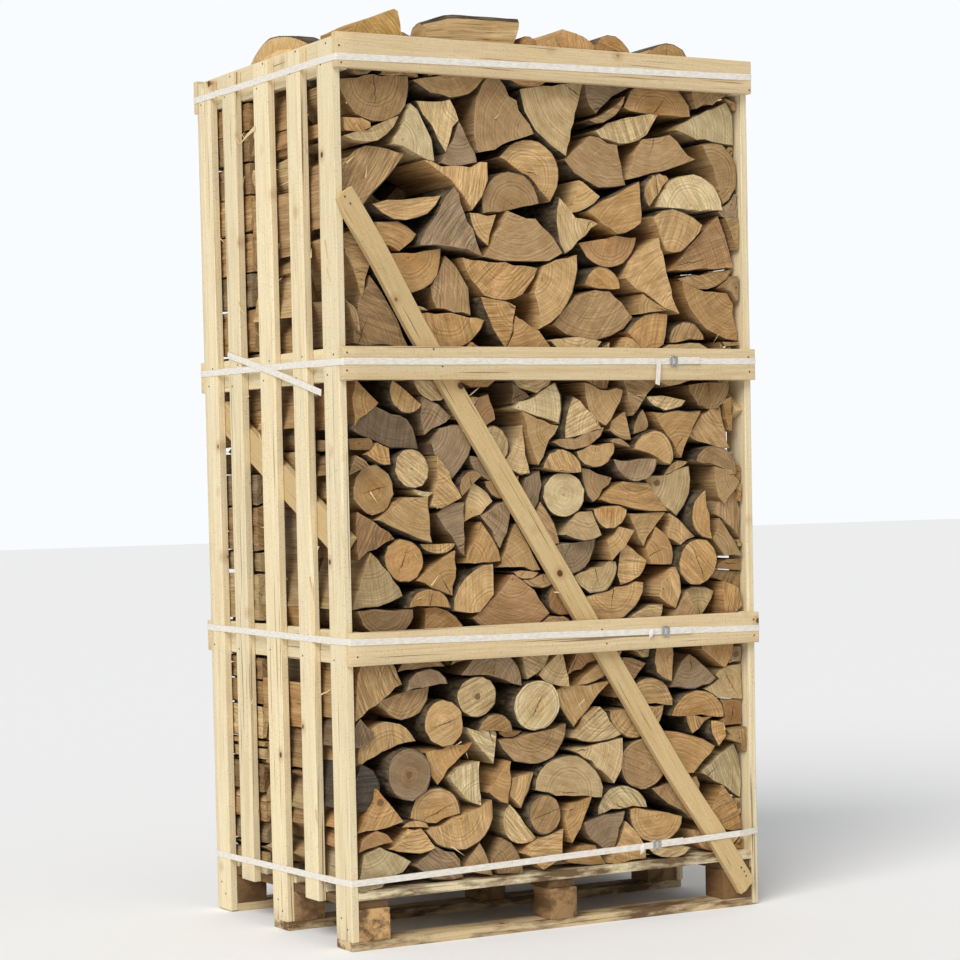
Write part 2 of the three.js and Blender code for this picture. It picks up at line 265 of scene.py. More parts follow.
def sawn_timber(name, stain, worn, rough):
    """Band-sawn spruce: growth rings cut into lines and flames, fine fibres, scattered knots and thin
    drying cracks. stain and worn darken it in patches for timber that has been outdoors."""
    material, tree, shader = blank(name)
    grain = node(tree, READ, out="Vector", attribute_name="grain")
    tint = node(tree, READ, out="Color", attribute_name="tint")

    # Rings about 4 mm wide round the pith, wavering by a few millimetres
    flat = node(tree, VECTOR, {0: grain, 1: (1, 1, 0)}, 0, **TIMES)
    radius = node(tree, VECTOR, {0: flat}, 1, operation="LENGTH")
    slow = node(tree, VECTOR, {0: grain, 1: (22, 22, 2.2)}, 0, **TIMES)
    waver = node(tree, NOISE, {"Vector": slow, "Scale": 1.0}, 0)
    wavy = node(tree, MATH, {0: waver, 1: 0.014, 2: radius}, 0, **PLUS)
    rings = node(tree, NOISE, {"W": wavy, "Scale": 240.0}, 0, noise_dimensions="1D")
    line = node(tree, RANGE, {0: rings, 1: 0.42, 2: 0.66, 4: 0.3}, 0)
    late = node(tree, MIX, {0: 1.0, 6: tint, 7: (0.78, 0.62, 0.42, 1)}, 2, **TINTED)
    colour = node(tree, MIX, {0: line, 6: tint, 7: late}, 2, **BLEND)

    # Fibres 2 mm wide and 110 mm long
    fibre_way = node(tree, VECTOR, {0: grain, 1: (520, 520, 9)}, 0, **TIMES)
    fibres = node(tree, NOISE, {"Vector": fibre_way, "Scale": 1.0, "Detail": 3.0, "Roughness": 0.65}, 0)
    shade = node(tree, RANGE, {0: fibres, 1: 0.3, 2: 0.72, 3: 0.86, 4: 1.08}, 0)
    grey = node(tree, GREY, {0: shade, 1: shade, 2: shade}, 0)
    colour = node(tree, MIX, {0: 1.0, 6: colour, 7: grey}, 2, **TINTED)

    # Weather stains 50 mm across and 200 mm long
    stain_way = node(tree, VECTOR, {0: grain, 1: (20, 20, 5)}, 0, **TIMES)
    patches = node(tree, NOISE, {"Vector": stain_way, "Scale": 1.0, "Detail": 5.0, "Roughness": 0.65}, 0)
    stained = node(tree, RANGE, {0: patches, 1: 0.45, 2: 0.78 - 0.2 * stain, 4: stain}, 0)
    colour = node(tree, MIX, {0: stained, 6: colour, 7: rgba(worn)}, 2, **BLEND)

    # Ticks left by the saw's teeth, a few millimetres long and across the grain
    tick_way = node(tree, VECTOR, {0: grain, 1: (150, 150, 420)}, 0, **TIMES)
    ticks = node(tree, NOISE, {"Vector": tick_way, "Scale": 1.0, "Detail": 3.0, "Roughness": 0.65}, 0)
    ticked = node(tree, RANGE, {0: ticks, 1: 0.58, 2: 0.66, 4: 0.42}, 0)
    colour = node(tree, MIX, {0: ticked, 6: colour, 7: rgba("#8F7350")}, 2, **BLEND)

    # Knots of 5 to 10 mm about every 400 mm, each in a warmer halo
    knot_way = node(tree, VECTOR, {0: grain, 1: (9, 3, 8)}, 0, **TIMES)
    cell = node(tree, "ShaderNodeTexVoronoi", {"Vector": knot_way, "Scale": 1.0}, "Distance")
    halo = node(tree, RANGE, {0: cell, 1: 0.2, 2: 0.06, 4: 0.5}, 0)
    colour = node(tree, MIX, {0: halo, 6: colour, 7: rgba("#A9763F")}, 2, **BLEND)
    knots = node(tree, RANGE, {0: cell, 1: 0.085, 2: 0.06}, 0)
    colour = node(tree, MIX, {0: knots, 6: colour, 7: rgba("#5A3A22")}, 2, **BLEND)

    # Drying cracks, some 500 mm long
    crack_way = node(tree, VECTOR, {0: grain, 1: (150, 150, 1.8)}, 0, **TIMES)
    crack_noise = node(tree, NOISE, {"Vector": crack_way, "Scale": 1.0}, 0)
    cracks = node(tree, RANGE, {0: crack_noise, 1: 0.66, 2: 0.7, 4: 0.75}, 0)
    colour = node(tree, MIX, {0: cracks, 6: colour, 7: rgba("#6B5030")}, 2, **BLEND)
    tree.links.new(colour, shader.inputs["Base Color"])

    relief = node(tree, MATH, {0: rings, 1: 0.8, 2: fibres}, 0, **PLUS)
    relief = node(tree, MATH, {0: relief, 1: cracks}, 0, **LESS)
    bump = node(tree, "ShaderNodeBump", {"Height": relief, "Strength": 0.4, "Distance": 0.001}, 0)
    tree.links.new(bump, shader.inputs["Normal"])
    shader.inputs["Roughness"].default_value = rough
    shader.inputs["Specular IOR Level"].default_value = 0.3
    return material


def end_grain():
    """The crosscut end of a split beech or birch log: growth rings, a browner heart, the marks of the
    saw, and on some a drying check or a knot."""
    material, tree, shader = blank("sawn hardwood end grain")
    grain = node(tree, READ, out="Vector", attribute_name="grain")
    tint = node(tree, READ, out="Color", attribute_name="tint")
    heart = node(tree, READ, out="Alpha", attribute_name="tint")
    saw = node(tree, READ, out="Vector", attribute_name="saw")
    check = node(tree, READ, out="Vector", attribute_name="check")
    rim = node(tree, READ, out="Fac", attribute_name="rim")

    # Duller clouds about 30 mm across, and the heart within 50 mm of the pith
    patches = node(tree, NOISE, {"Vector": grain, "Scale": 30.0, "Detail": 3.0}, 0)
    cloud = node(tree, RANGE, {0: patches, 1: 0.35, 2: 0.7}, 0)
    dull = node(tree, MIX, {0: 1.0, 6: tint, 7: (0.79, 0.74, 0.66, 1)}, 2, **TINTED)
    colour = node(tree, MIX, {0: cloud, 6: tint, 7: dull}, 2, **BLEND)
    flat = node(tree, VECTOR, {0: grain, 1: (1, 1, 0)}, 0, **TIMES)
    radius = node(tree, VECTOR, {0: flat}, 1, operation="LENGTH")
    inner = node(tree, RANGE, {0: radius, 1: 0.055, 2: 0.012}, 0)
    core = node(tree, MATH, {0: inner, 1: heart}, 0, **TIMES)
    brown = node(tree, MIX, {0: 1.0, 6: colour, 7: (0.88, 0.74, 0.54, 1)}, 2, **TINTED)
    colour = node(tree, MIX, {0: core, 6: colour, 7: brown}, 2, **BLEND)

    # Rings 3 to 6 mm wide that waver by a few millimetres
    slow = node(tree, NOISE, {"Vector": grain, "Scale": 24.0}, 0)
    wavy = node(tree, MATH, {0: slow, 1: 0.012, 2: radius}, 0, **PLUS)
    ring_links = {"W": wavy, "Scale": 210.0, "Detail": 4.0, "Roughness": 0.65}
    rings = node(tree, NOISE, ring_links, 0, noise_dimensions="1D")
    ringed = node(tree, RANGE, {0: rings, 1: 0.32, 2: 0.68, 3: 1.14, 4: 0.74}, 0)

    # Ridges 5 mm apart where the saw chain tore, deeper on some ends than on others
    broad_way = node(tree, VECTOR, {0: saw, 1: (190, 9, 1)}, 0, **TIMES)
    broad = node(tree, NOISE, {"Vector": broad_way, "Scale": 1.0, "Detail": 3.0, "Roughness": 0.6}, 0)
    ridges = node(tree, RANGE, {0: broad, 1: 0.36, 2: 0.62, 3: 0.19, 4: 0.43}, 0)
    fine_way = node(tree, VECTOR, {0: saw, 1: (620, 34, 1)}, 0, **TIMES)
    fine = node(tree, NOISE, {"Vector": fine_way, "Scale": 1.0, "Roughness": 0.6}, 0)
    marks = node(tree, MATH, {0: fine, 1: 0.38, 2: ridges}, 0, **PLUS)
    depth = node(tree, SPLIT, {0: saw}, 2)
    bite = node(tree, MATH, {0: depth, 1: 2.4, 2: 0.6}, 0, **PLUS)
    above = node(tree, MATH, {0: marks, 1: 0.5}, 0, **LESS)
    scored = node(tree, MATH, {0: above, 1: bite, 2: 1.0}, 0, **PLUS)
    shade = node(tree, MATH, {0: ringed, 1: scored}, 0, **TIMES)
    pores = node(tree, NOISE, {"Vector": grain, "Scale": 330.0, "Detail": 4.0, "Roughness": 0.75}, 0)
    speckle = node(tree, RANGE, {0: pores, 1: 0.34, 2: 0.66, 3: 0.82, 4: 1.12}, 0)
    shade = node(tree, MATH, {0: shade, 1: speckle}, 0, **TIMES)
    grey = node(tree, GREY, {0: shade, 1: shade, 2: shade}, 0)
    colour = node(tree, MIX, {0: 1.0, 6: colour, 7: grey}, 2, **TINTED)

    # A drying check opens from the pith, up to 3 mm wide, and closes along its length
    across, run, reach = node(tree, SPLIT, {0: check}).outputs
    rag = node(tree, NOISE, {"Vector": grain, "Scale": 60.0}, 0)
    ragged = node(tree, MATH, {0: rag, 1: 0.012, 2: across}, 0, **PLUS)
    ragged = node(tree, MATH, {0: ragged, 1: 0.006}, 0, **LESS)
    off = node(tree, MATH, {0: ragged}, 0, operation="ABSOLUTE")
    span = node(tree, MATH, {0: run}, 0, operation="ABSOLUTE")
    width = node(tree, MATH, {0: span, 1: -0.0016, 2: 0.0016}, 0, **PLUS)
    opening = node(tree, MATH, {0: width, 1: off}, 0, **LESS)
    gap = node(tree, RANGE, {0: opening, 2: 0.0006, 4: 0.8}, 0)
    cracked = node(tree, MATH, {0: reach, 1: 0.0}, 0, operation="GREATER_THAN")
    gap = node(tree, MATH, {0: gap, 1: cracked}, 0, **TIMES)
    colour = node(tree, MIX, {0: gap, 6: colour, 7: rgba("#3B2817")}, 2, **BLEND)

    # Where a log has a knot instead, the same place holds its dark eye, 15 to 20 mm across
    eye_run = node(tree, MATH, {0: run, 1: reach}, 0, **TIMES)
    eye_way = node(tree, "ShaderNodeCombineXYZ", {0: across, 1: eye_run}, 0)
    eye = node(tree, VECTOR, {0: eye_way}, 1, operation="LENGTH")
    wobble = node(tree, NOISE, {"Vector": grain, "Scale": 90.0}, 0)
    eye = node(tree, MATH, {0: wobble, 1: 0.009, 2: eye}, 0, **PLUS)
    inside = node(tree, RANGE, {0: eye, 1: 0.015, 2: 0.012, 4: 0.9}, 0)
    has_knot = node(tree, MATH, {0: reach, 1: 0.0}, 0, operation="LESS_THAN")
    knot = node(tree, MATH, {0: inside, 1: has_knot}, 0, **TIMES)
    turns = node(tree, MATH, {0: eye, 1: 1500.0}, 0, **TIMES)
    wave = node(tree, MATH, {0: turns}, 0, operation="SINE")
    knot_ring = node(tree, MATH, {0: wave, 1: 0.25, 2: 0.6}, 0, **PLUS)
    dark = node(tree, MIX, {0: knot_ring, 6: rgba("#3A2A1C"), 7: rgba("#8A6A48")}, 2, **BLEND)
    colour = node(tree, MIX, {0: knot, 6: colour, 7: dark}, 2, **BLEND)

    # Bark shows as a dark line, and a split edge is painted pale: partly torn fibre, partly a painted
    # highlight where it catches the light
    bark_line = node(tree, RANGE, {0: rim, 1: -0.25, 2: -0.8}, 0)
    colour = node(tree, MIX, {0: bark_line, 6: colour, 7: rgba("#4A3A2B")}, 2, **BLEND)
    pale_edge = node(tree, RANGE, {0: rim, 1: 0.5, 2: 1.0, 4: 0.4}, 0)
    colour = node(tree, MIX, {0: pale_edge, 6: colour, 7: rgba("#EAD9B4")}, 2, **BLEND)
    tree.links.new(colour, shader.inputs["Base Color"])

    relief = node(tree, MATH, {0: rings, 1: 0.4, 2: marks}, 0, **PLUS)
    relief = node(tree, MATH, {0: pores, 1: 0.5, 2: relief}, 0, **PLUS)
    relief = node(tree, MATH, {0: gap, 1: -2.0, 2: relief}, 0, **PLUS)
    bump = node(tree, "ShaderNodeBump", {"Height": relief, "Strength": 0.7, "Distance": 0.003}, 0)
    tree.links.new(bump, shader.inputs["Normal"])
    shader.inputs["Roughness"].default_value = 0.82
    shader.inputs["Specular IOR Level"].default_value = 0.25
    return material


def split_face():
    """The torn face down the length of a split log: long ridges, dark streaks and pale loose threads."""
    material, tree, shader = blank("split hardwood face")
    grain = node(tree, READ, out="Vector", attribute_name="grain")
    tint = node(tree, READ, out="Color", attribute_name="tint")
    broad_way = node(tree, VECTOR, {0: grain, 1: (34, 34, 3.5)}, 0, **TIMES)
    broad = node(tree, NOISE, {"Vector": broad_way, "Scale": 1.0, "Detail": 3.0}, 0)
    cloud = node(tree, RANGE, {0: broad, 1: 0.35, 2: 0.7}, 0)
    dull = node(tree, MIX, {0: 1.0, 6: tint, 7: (0.72, 0.62, 0.50, 1)}, 2, **TINTED)
    colour = node(tree, MIX, {0: cloud, 6: tint, 7: dull}, 2, **BLEND)

    # Ridges 4 mm wide and 140 mm long
    streak_way = node(tree, VECTOR, {0: grain, 1: (230, 230, 7)}, 0, **TIMES)
    streaks = node(tree, NOISE, {"Vector": streak_way, "Scale": 1.0, "Detail": 4.0, "Roughness": 0.62}, 0)
    shade = node(tree, RANGE, {0: streaks, 1: 0.32, 2: 0.68, 3: 0.62, 4: 1.18}, 0)
    grey = node(tree, GREY, {0: shade, 1: shade, 2: shade}, 0)
    colour = node(tree, MIX, {0: 1.0, 6: colour, 7: grey}, 2, **TINTED)
    thread_way = node(tree, VECTOR, {0: grain, 1: (700, 700, 22)}, 0, **TIMES)
    threads = node(tree, NOISE, {"Vector": thread_way, "Scale": 1.0, "Detail": 3.0, "Roughness": 0.7}, 0)
    pale = node(tree, RANGE, {0: threads, 1: 0.62, 2: 0.75, 4: 0.5}, 0)
    colour = node(tree, MIX, {0: pale, 6: colour, 7: rgba("#E8D5A8")}, 2, **BLEND)
    low = node(tree, RANGE, {0: streaks, 1: 0.38, 2: 0.3, 4: 0.7}, 0)
    colour = node(tree, MIX, {0: low, 6: colour, 7: rgba("#5B4026")}, 2, **BLEND)
    tree.links.new(colour, shader.inputs["Base Color"])

    relief = node(tree, MATH, {0: threads, 1: 0.3, 2: streaks}, 0, **PLUS)
    bump = node(tree, "ShaderNodeBump", {"Height": relief, "Strength": 0.9, "Distance": 0.004}, 0)
    tree.links.new(bump, shader.inputs["Normal"])
    shader.inputs["Roughness"].default_value = 0.8
    shader.inputs["Specular IOR Level"].default_value = 0.25
    return material


def bark():
    """Furrowed hardwood bark: dark furrows 9 mm apart, paler scales and a little grey-green lichen."""
    material, tree, shader = blank("hardwood bark")
    grain = node(tree, READ, out="Vector", attribute_name="grain")
    furrow_way = node(tree, VECTOR, {0: grain, 1: (110, 110, 22)}, 0, **TIMES)
    furrows = node(tree, NOISE, {"Vector": furrow_way, "Scale": 1.0, "Detail": 4.0, "Roughness": 0.65}, 0)
    depth = node(tree, RANGE, {0: furrows, 1: 0.35, 2: 0.65}, 0)
    colour = node(tree, MIX, {0: depth, 6: rgba("#2A2119"), 7: rgba("#66563F")}, 2, **BLEND)
    scale_way = node(tree, VECTOR, {0: grain, 1: (34, 34, 18)}, 0, **TIMES)
    scales = node(tree, NOISE, {"Vector": scale_way, "Scale": 1.0, "Detail": 3.0}, 0)
    paler = node(tree, RANGE, {0: scales, 1: 0.45, 2: 0.7, 4: 0.6}, 0)
    colour = node(tree, MIX, {0: paler, 6: colour, 7: rgba("#857560")}, 2, **BLEND)
    lichen = node(tree, NOISE, {"Vector": grain, "Scale": 48.0, "Detail": 4.0, "Roughness": 0.6}, 0)
    grown_over = node(tree, RANGE, {0: lichen, 1: 0.62, 2: 0.72, 4: 0.7}, 0)
    colour = node(tree, MIX, {0: grown_over, 6: colour, 7: rgba("#8B8C66")}, 2, **BLEND)
    tree.links.new(colour, shader.inputs["Base Color"])

    relief = node(tree, MATH, {0: furrows, 1: 1.0, 2: scales}, 0, **PLUS)
    bump = node(tree, "ShaderNodeBump", {"Height": relief, "Strength": 1.0, "Distance": 0.005}, 0)
    tree.links.new(bump, shader.inputs["Normal"])
    shader.inputs["Roughness"].default_value = 0.9
    shader.inputs["Specular IOR Level"].default_value = 0.25
    return material


def torn_fibre():
    """Torn spruce and hardwood fibre, paler than the face it was torn from."""
    material, tree, shader = blank("torn wood fibre")
    place = node(tree, "ShaderNodeTexCoord", out="Object")
    streak = node(tree, NOISE, {"Vector": place, "Scale": 420.0}, 0)
    colour = node(tree, MIX, {0: streak, 6: rgba("#F0DFB6"), 7: rgba("#C9A568")}, 2, **BLEND)
    tree.links.new(colour, shader.inputs["Base Color"])
    shader.inputs["Roughness"].default_value = 0.75
    return material


crate_spruce = sawn_timber("band-sawn spruce", 0.22, "#C9A468", 0.7)
pallet_spruce = sawn_timber("weathered pallet spruce", 0.95, "#63492E", 0.8)
log_finishes = [end_grain(), split_face(), bark()]
splinter_finish = torn_fibre()


def corded_strap():
    """Corded polyester strapping, off-white and faintly shiny. Its cords lie 1.1 mm apart, which is too fine
    to show, so they are drawn 2.6 mm apart."""
    material, tree, shader = blank("corded polyester strap")
    grain = node(tree, READ, out="Vector", attribute_name="grain")
    across = node(tree, SPLIT, {0: grain}, 1)
    phase = node(tree, MATH, {0: across, 1: 2 * math.pi / 0.0026}, 0, **TIMES)
    cords = node(tree, MATH, {0: phase}, 0, operation="COSINE")
    dust_way = node(tree, VECTOR, {0: grain, 1: (60, 200, 1)}, 0, **TIMES)
    dust = node(tree, NOISE, {"Vector": dust_way, "Scale": 1.0, "Detail": 3.0}, 0)
    grime = node(tree, RANGE, {0: dust, 1: 0.35, 2: 0.75}, 0)
    colour = node(tree, MIX, {0: grime, 6: rgba("#F4EFE6"), 7: rgba("#DDD3C2")}, 2, **BLEND)
    tree.links.new(colour, shader.inputs["Base Color"])
    bump = node(tree, "ShaderNodeBump", {"Height": cords, "Strength": 0.5, "Distance": 0.0006}, 0)
    tree.links.new(bump, shader.inputs["Normal"])
    shader.inputs["Roughness"].default_value = 0.45
    return material


def worked_steel(name, bright, dull, rough, metal):
    """Zinc-coated or plain drawn steel, cloudy rather than mirror-bright."""
    material, tree, shader = blank(name)
    place = node(tree, "ShaderNodeTexCoord", out="Object")
    cloud = node(tree, NOISE, {"Vector": place, "Scale": 260.0, "Detail": 3.0}, 0)
    colour = node(tree, MIX, {0: cloud, 6: rgba(bright), 7: rgba(dull)}, 2, **BLEND)
    tree.links.new(colour, shader.inputs["Base Color"])
    worn = node(tree, RANGE, {0: cloud, 3: rough - 0.1, 4: rough + 0.12}, 0)
    tree.links.new(worn, shader.inputs["Roughness"])
    shader.inputs["Metallic"].default_value = metal
    return material


strap_finish = corded_strap()
buckle_finish = worked_steel("galvanised wire", "#D8DAD8", "#A9ADAD", 0.34, 1.0)
nail_finish = worked_steel("plain steel nail", "#7A736A", "#4B443C", 0.5, 0.8)


# ---- Sawn boards ----


def plank(stock, rng, middle, along, across, size, tint, bow=None, wane=None, shear=0.0, jag=0.0):
    """A sawn board from its middle, its directions and its (length, width, thickness). bow and wane give,
    for distances along it, how far it stands out and how much of one edge is missing. shear slants its
    ends, and jag breaks the far one."""
    along, across = np.array(along, float), np.array(across, float)
    out = np.cross(along, across)
    length, width, thickness = size
    steps = max(3, int(length / 45))
    reach = length / 2
    edge = 1.1
    s = np.concatenate([[-reach], np.linspace(-reach + edge, reach - edge, steps), [reach]])
    count = len(s)
    inset = np.where(np.abs(s) > reach - edge / 2, edge, 0.0)
    half_w = width / 2 - inset + wander(rng, max(3, steps // 3), count, 0.35)
    half_t = thickness / 2 - inset * 0.8 + wander(rng, max(3, steps // 3), count, 0.12)
    drift = wander(rng, 4, count, 0.5)
    missing = np.zeros(count) if wane is None else wane(s + reach)
    stand = np.zeros(count) if bow is None else bow(s + reach)
    ring_w, ring_t = [], []
    corners = ((-1, -1), (1, -1), (1, 1), (-1, 1))
    for k, (u, v) in enumerate(corners):
        cut_w = edge + rng.uniform(0, 0.6) + (missing if k == 1 else 0)
        cut_t = edge + rng.uniform(0, 0.4) + (missing * 0.8 if k == 1 else 0)
        if k in (0, 2):
            ring_w += [u * half_w, u * (half_w - cut_w)]
            ring_t += [v * (half_t - cut_t), v * half_t]
        else:
            ring_w += [u * (half_w - cut_w), u * half_w]
            ring_t += [v * half_t, v * (half_t - cut_t)]
        if k in (0, 2):
            for share in (0.34, -0.34):
                ring_w.append(u * share * half_w)
                ring_t.append(v * (half_t + wander(rng, 5, count, 0.1)))
    across_mm = np.stack(ring_w, 1) + drift[:, None]
    out_mm = np.stack(ring_t, 1)
    around = across_mm.shape[1]
    s_mm = np.repeat(s[:, None], around, 1) + shear * across_mm
    if jag:
        torn = rng.uniform(-1, 0.3, around) * jag
        s_mm[-1] += torn
        s_mm[-2] += torn
    w = np.concatenate([[across_mm[0].mean()], across_mm.ravel(), [across_mm[-1].mean()]])
    t = np.concatenate([[0], out_mm.ravel(), [0]])
    d = np.concatenate([[s_mm[0].mean()], s_mm.ravel(), [s_mm[-1].mean()]])
    lift = np.concatenate([[stand[0]], np.repeat(stand, around), [stand[-1]]])
    points = np.array(middle) + d[:, None] * along + w[:, None] * across + (t + lift)[:, None] * out
    pith_w = rng.uniform(-0.5, 0.5) * width + rng.normal(0, 0.006) * d
    pith_t = rng.choice([-1, 1]) * rng.uniform(18, 60) + rng.normal(0, 0.012) * d
    grain = np.stack([w - pith_w, t - pith_t, d + rng.uniform(0, 90000)], 1) / 1000
    colour = np.append(tint * rng.uniform(0.93, 1.06), 1.0)
    faces = loft_faces(count, around)
    stock.add(points, faces, 0, grain=grain, tint=np.tile(colour, (len(points), 1)))


def board(stock, rng, name, tint, grain_axis=None, **shape):
    """A sawn board in a CAD node's box, its grain along its longest side unless told otherwise."""
    low, high = millimetres(name)
    size = high - low
    order = np.argsort(-size)
    if grain_axis is not None:
        order = [grain_axis] + [i for i in order if i != grain_axis]
    length_axis, width_axis, out_axis = np.eye(3)[list(order)]
    if np.dot(np.cross(length_axis, width_axis), out_axis) < 0:
        width_axis = -width_axis
    plank(stock, rng, (low + high) / 2, length_axis, width_axis, size[list(order)], tint, **shape)


names = list(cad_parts)
crate_stock = Stock("grain", "tint")
pallet_stock = Stock("grain", "tint")
rng = np.random.default_rng(41)
CREAM = srgb("#ECDDB8")
TAN = srgb("#DFC9A0")
LEAN = srgb("#CFB584")
AGED = srgb("#D6BF96")
# Two pallet blocks take a paler tint, and two a darker one, which is painted shade for blocks standing in
# shadow
PALER_BLOCK = srgb("#CDA672")
PAINTED_SHADE_BLOCK = srgb("#7E5E3B")
# The stringers' dark tint is painted shade for their recessed ends, which lie in shadow under the deck
PALLET_TINTS = {"skid": AGED, "block": srgb("#9F7E57"), "stringer": srgb("#7C6244"), "deck": CREAM}

sides = [n for n in names if n.startswith(("left_", "right_")) and not n.endswith("_brace")]
rails = [n for n in names if n.startswith(("front_rail", "back_rail"))]


def patchy_wane(rng, length, depth):
    """A stretch of a board's edge where the saw ran out into bark."""
    middle, reach = rng.uniform(0.2, 0.8) * length, rng.uniform(150, 420)
    return lambda s: depth * np.clip(1.4 - np.abs(s - middle) / reach, 0, 1)


for name in sides:
    low, high = millimetres(name)
    wane = patchy_wane(rng, (high - low).max(), rng.uniform(3, 8)) if rng.random() < 0.55 else None
    board(crate_stock, rng, name, CREAM, wane=wane)
for name in rails:
    board(crate_stock, rng, name, TAN)
pallet = [n for n in names if n.startswith(("skid_", "block_", "stringer_", "deck_"))]
for name in pallet:
    kind = name.split("_")[0]
    tint = PALLET_TINTS[kind]
    # The front left block and its half-turned partner are painted paler
    if name in ("block_front_left", "block_back_right"):
        tint = PALER_BLOCK
    # The front right block and its half-turned partner are painted darker, as painted shade
    if name in ("block_front_right", "block_back_left"):
        tint = PAINTED_SHADE_BLOCK
    wane = patchy_wane(rng, 1200, rng.uniform(3, 7)) if kind in ("skid", "deck") else None
    board(pallet_stock, rng, name, tint, grain_axis=1 if kind == "block" else None, wane=wane)

# Side braces lean down towards the front on the left, and the right side is the left turned half round
SIDE_RUN, SIDE_RISE = 720.0, 353.0
SIDE_LENGTH = math.hypot(SIDE_RUN, SIDE_RISE)
SIDE_BRACE_SIZE = (SIDE_LENGTH, 78, 20)
braces = ["left_brace", "right_brace", "front_brace", "back_brace"]
for name, hand in (("left_brace", 1), ("right_brace", -1)):
    low, high = millimetres(name)
    direction = np.array([0, SIDE_RUN * hand, SIDE_RISE]) / SIDE_LENGTH
    width_way = np.cross([1, 0, 0], direction)
    tilt = SIDE_RISE / SIDE_RUN * hand
    plank(crate_stock, rng, (low + high) / 2, direction, width_way, SIDE_BRACE_SIZE, LEAN, shear=-tilt)

# The long braces bow inwards between their ends and pass behind the two lower rails
BRACE_TOP = (-587.0, 1823.0)
BRACE_BOTTOM = (555.0, 50.0)
BRACE_Y = -410.3
BRACE_WIDTH, BRACE_THICKNESS = 55, 19.7
# Logs behind the brace's bowed middle keep back to this depth
BRACE_BACK = 374
POST_FACE = 599.8
BOW_DEPTH = 23
brace_run = BRACE_BOTTOM[0] - BRACE_TOP[0]
brace_fall = BRACE_TOP[1] - BRACE_BOTTOM[1]
BRACE_LENGTH = math.hypot(brace_run, brace_fall)


def brace_bow(s):
    """How far the long brace stands inwards over its middle."""
    near = np.minimum(s, BRACE_LENGTH - s)
    t = np.clip((near - 130) / 290, 0, 1)
    return -BOW_DEPTH * t * t * (3 - 2 * t)


def brace_wane(s):
    """Bark side of the brace's outer right edge, missing along its middle third."""
    t = np.clip((s - 760) / 160, 0, 1) * np.clip((1330 - s) / 200, 0, 1)
    return 9 * t


for hand in (1, -1):
    middle = np.array([(BRACE_TOP[0] + BRACE_BOTTOM[0]) / 2, BRACE_Y, (BRACE_TOP[1] + BRACE_BOTTOM[1]) / 2])
    direction = np.array([brace_run, 0, -brace_fall]) / BRACE_LENGTH
    width_way = np.cross([0, -1, 0], direction)
    half_turn = np.array([hand, hand, 1])
    lie = [part * half_turn for part in (middle, direction, width_way)]
    size = (BRACE_LENGTH, BRACE_WIDTH, BRACE_THICKNESS)
    plank(crate_stock, rng, *lie, size, LEAN, bow=brace_bow, wane=brace_wane, jag=8.0)
    # The upper end is sawn off level with the post's outer face
    points = crate_stock.points[-1]
    points[:, 0] = np.clip(points[:, 0], -POST_FACE, POST_FACE)

crate_stock.piece("crate_boards", [crate_spruce], "crate_board", sides + rails + braces)
# Rough sawing never carries a board below the ground
for points in pallet_stock.points:
    points[:, 2] = np.maximum(points[:, 2], 0.05)
pallet_stock.piece("pallet_boards", [pallet_spruce], "pallet_board", pallet)


# ---- Straps and buckles ----

STRAP_WIDTH = 16.0
# Where a strap lies against the slats, against the posts' feet and against the rails
SLAT_FACE = 600.3
FOOT_FACE = 400.3
RAIL_FACE = 422.3
BRACE_STANDS_OUT = 20.5
# Each strap's height at the front left corner, and its rise along the front and along the side
LOOP = {
    "top": (2142, 17, 8),
    "upper": (1423, 4, 8),
    "lower": (752, -21, 4),
    "bottom": (166, 31, -17),
}


def strap_height(level, x, y):
    """The height of a strap's middle line at a place on the crate's side or front."""
    height, along_front, along_side = LOOP[level]
    return height + along_front * (x + 600) / 1200 + along_side * (y + 400) / 800


def ribbon(stock, path, outward, up, thickness=1.0, width=STRAP_WIDTH, closed=False):
    """A flat band along a path, lying on what it is wrapped round."""
    path, outward, up = (np.asarray(part, float) for part in (path, outward, up))
    count = len(path)
    if closed:
        gaps = np.linalg.norm(np.diff(np.vstack([path, path[:1]]), axis=0), axis=1)
        run = np.concatenate([[0], np.cumsum(gaps)[:-1]])
    else:
        run = np.concatenate([[0], np.cumsum(np.linalg.norm(np.diff(path, axis=0), axis=1))])
    section = [(-0.5, 0), (-0.5, 1), (-0.46, 1.0), (0.0, 1.04), (0.46, 1.0), (0.5, 1), (0.5, 0), (0, 0)]
    points, grain = [], []
    for i in range(count):
        for across, out in section:
            points.append(path[i] + up[i] * across * width + outward[i] * out * thickness)
            grain.append((run[i] / 1000, across * width / 1000, out / 1000))
    around = len(section)
    faces = []
    for i in range(count if closed else count - 1):
        j = (i + 1) % count
        for k in range(around):
            m = (k + 1) % around
            faces.append((i * around + k, i * around + m, j * around + m, j * around + k))
    if not closed:
        faces.append(tuple(range(around))[::-1])
        faces.append(tuple((count - 1) * around + k for k in range(around)))
    first = np.array([points[i] for i in faces[0]])
    side = np.cross(first[1] - first[0], first[2] - first[0])
    centre = path[:2].mean(0) + outward[0] * thickness / 2
    if np.dot(side, first.mean(0) - centre) < 0:
        faces = [face[::-1] for face in faces]
    stock.add(points, faces, 0, grain=grain)


def loop_outline(level):
    """Corners of a strap's loop round the crate, going round from the front left."""
    x = SLAT_FACE
    if level == "bottom":
        y, over_brace = FOOT_FACE, FOOT_FACE + BRACE_STANDS_OUT
        half = [(-x, -y), (400, -over_brace), (530, -over_brace), (x, -y)]
    else:
        half = [(-x, -RAIL_FACE), (x, -RAIL_FACE)]
    return half + [(-a, -b) for a, b in half]


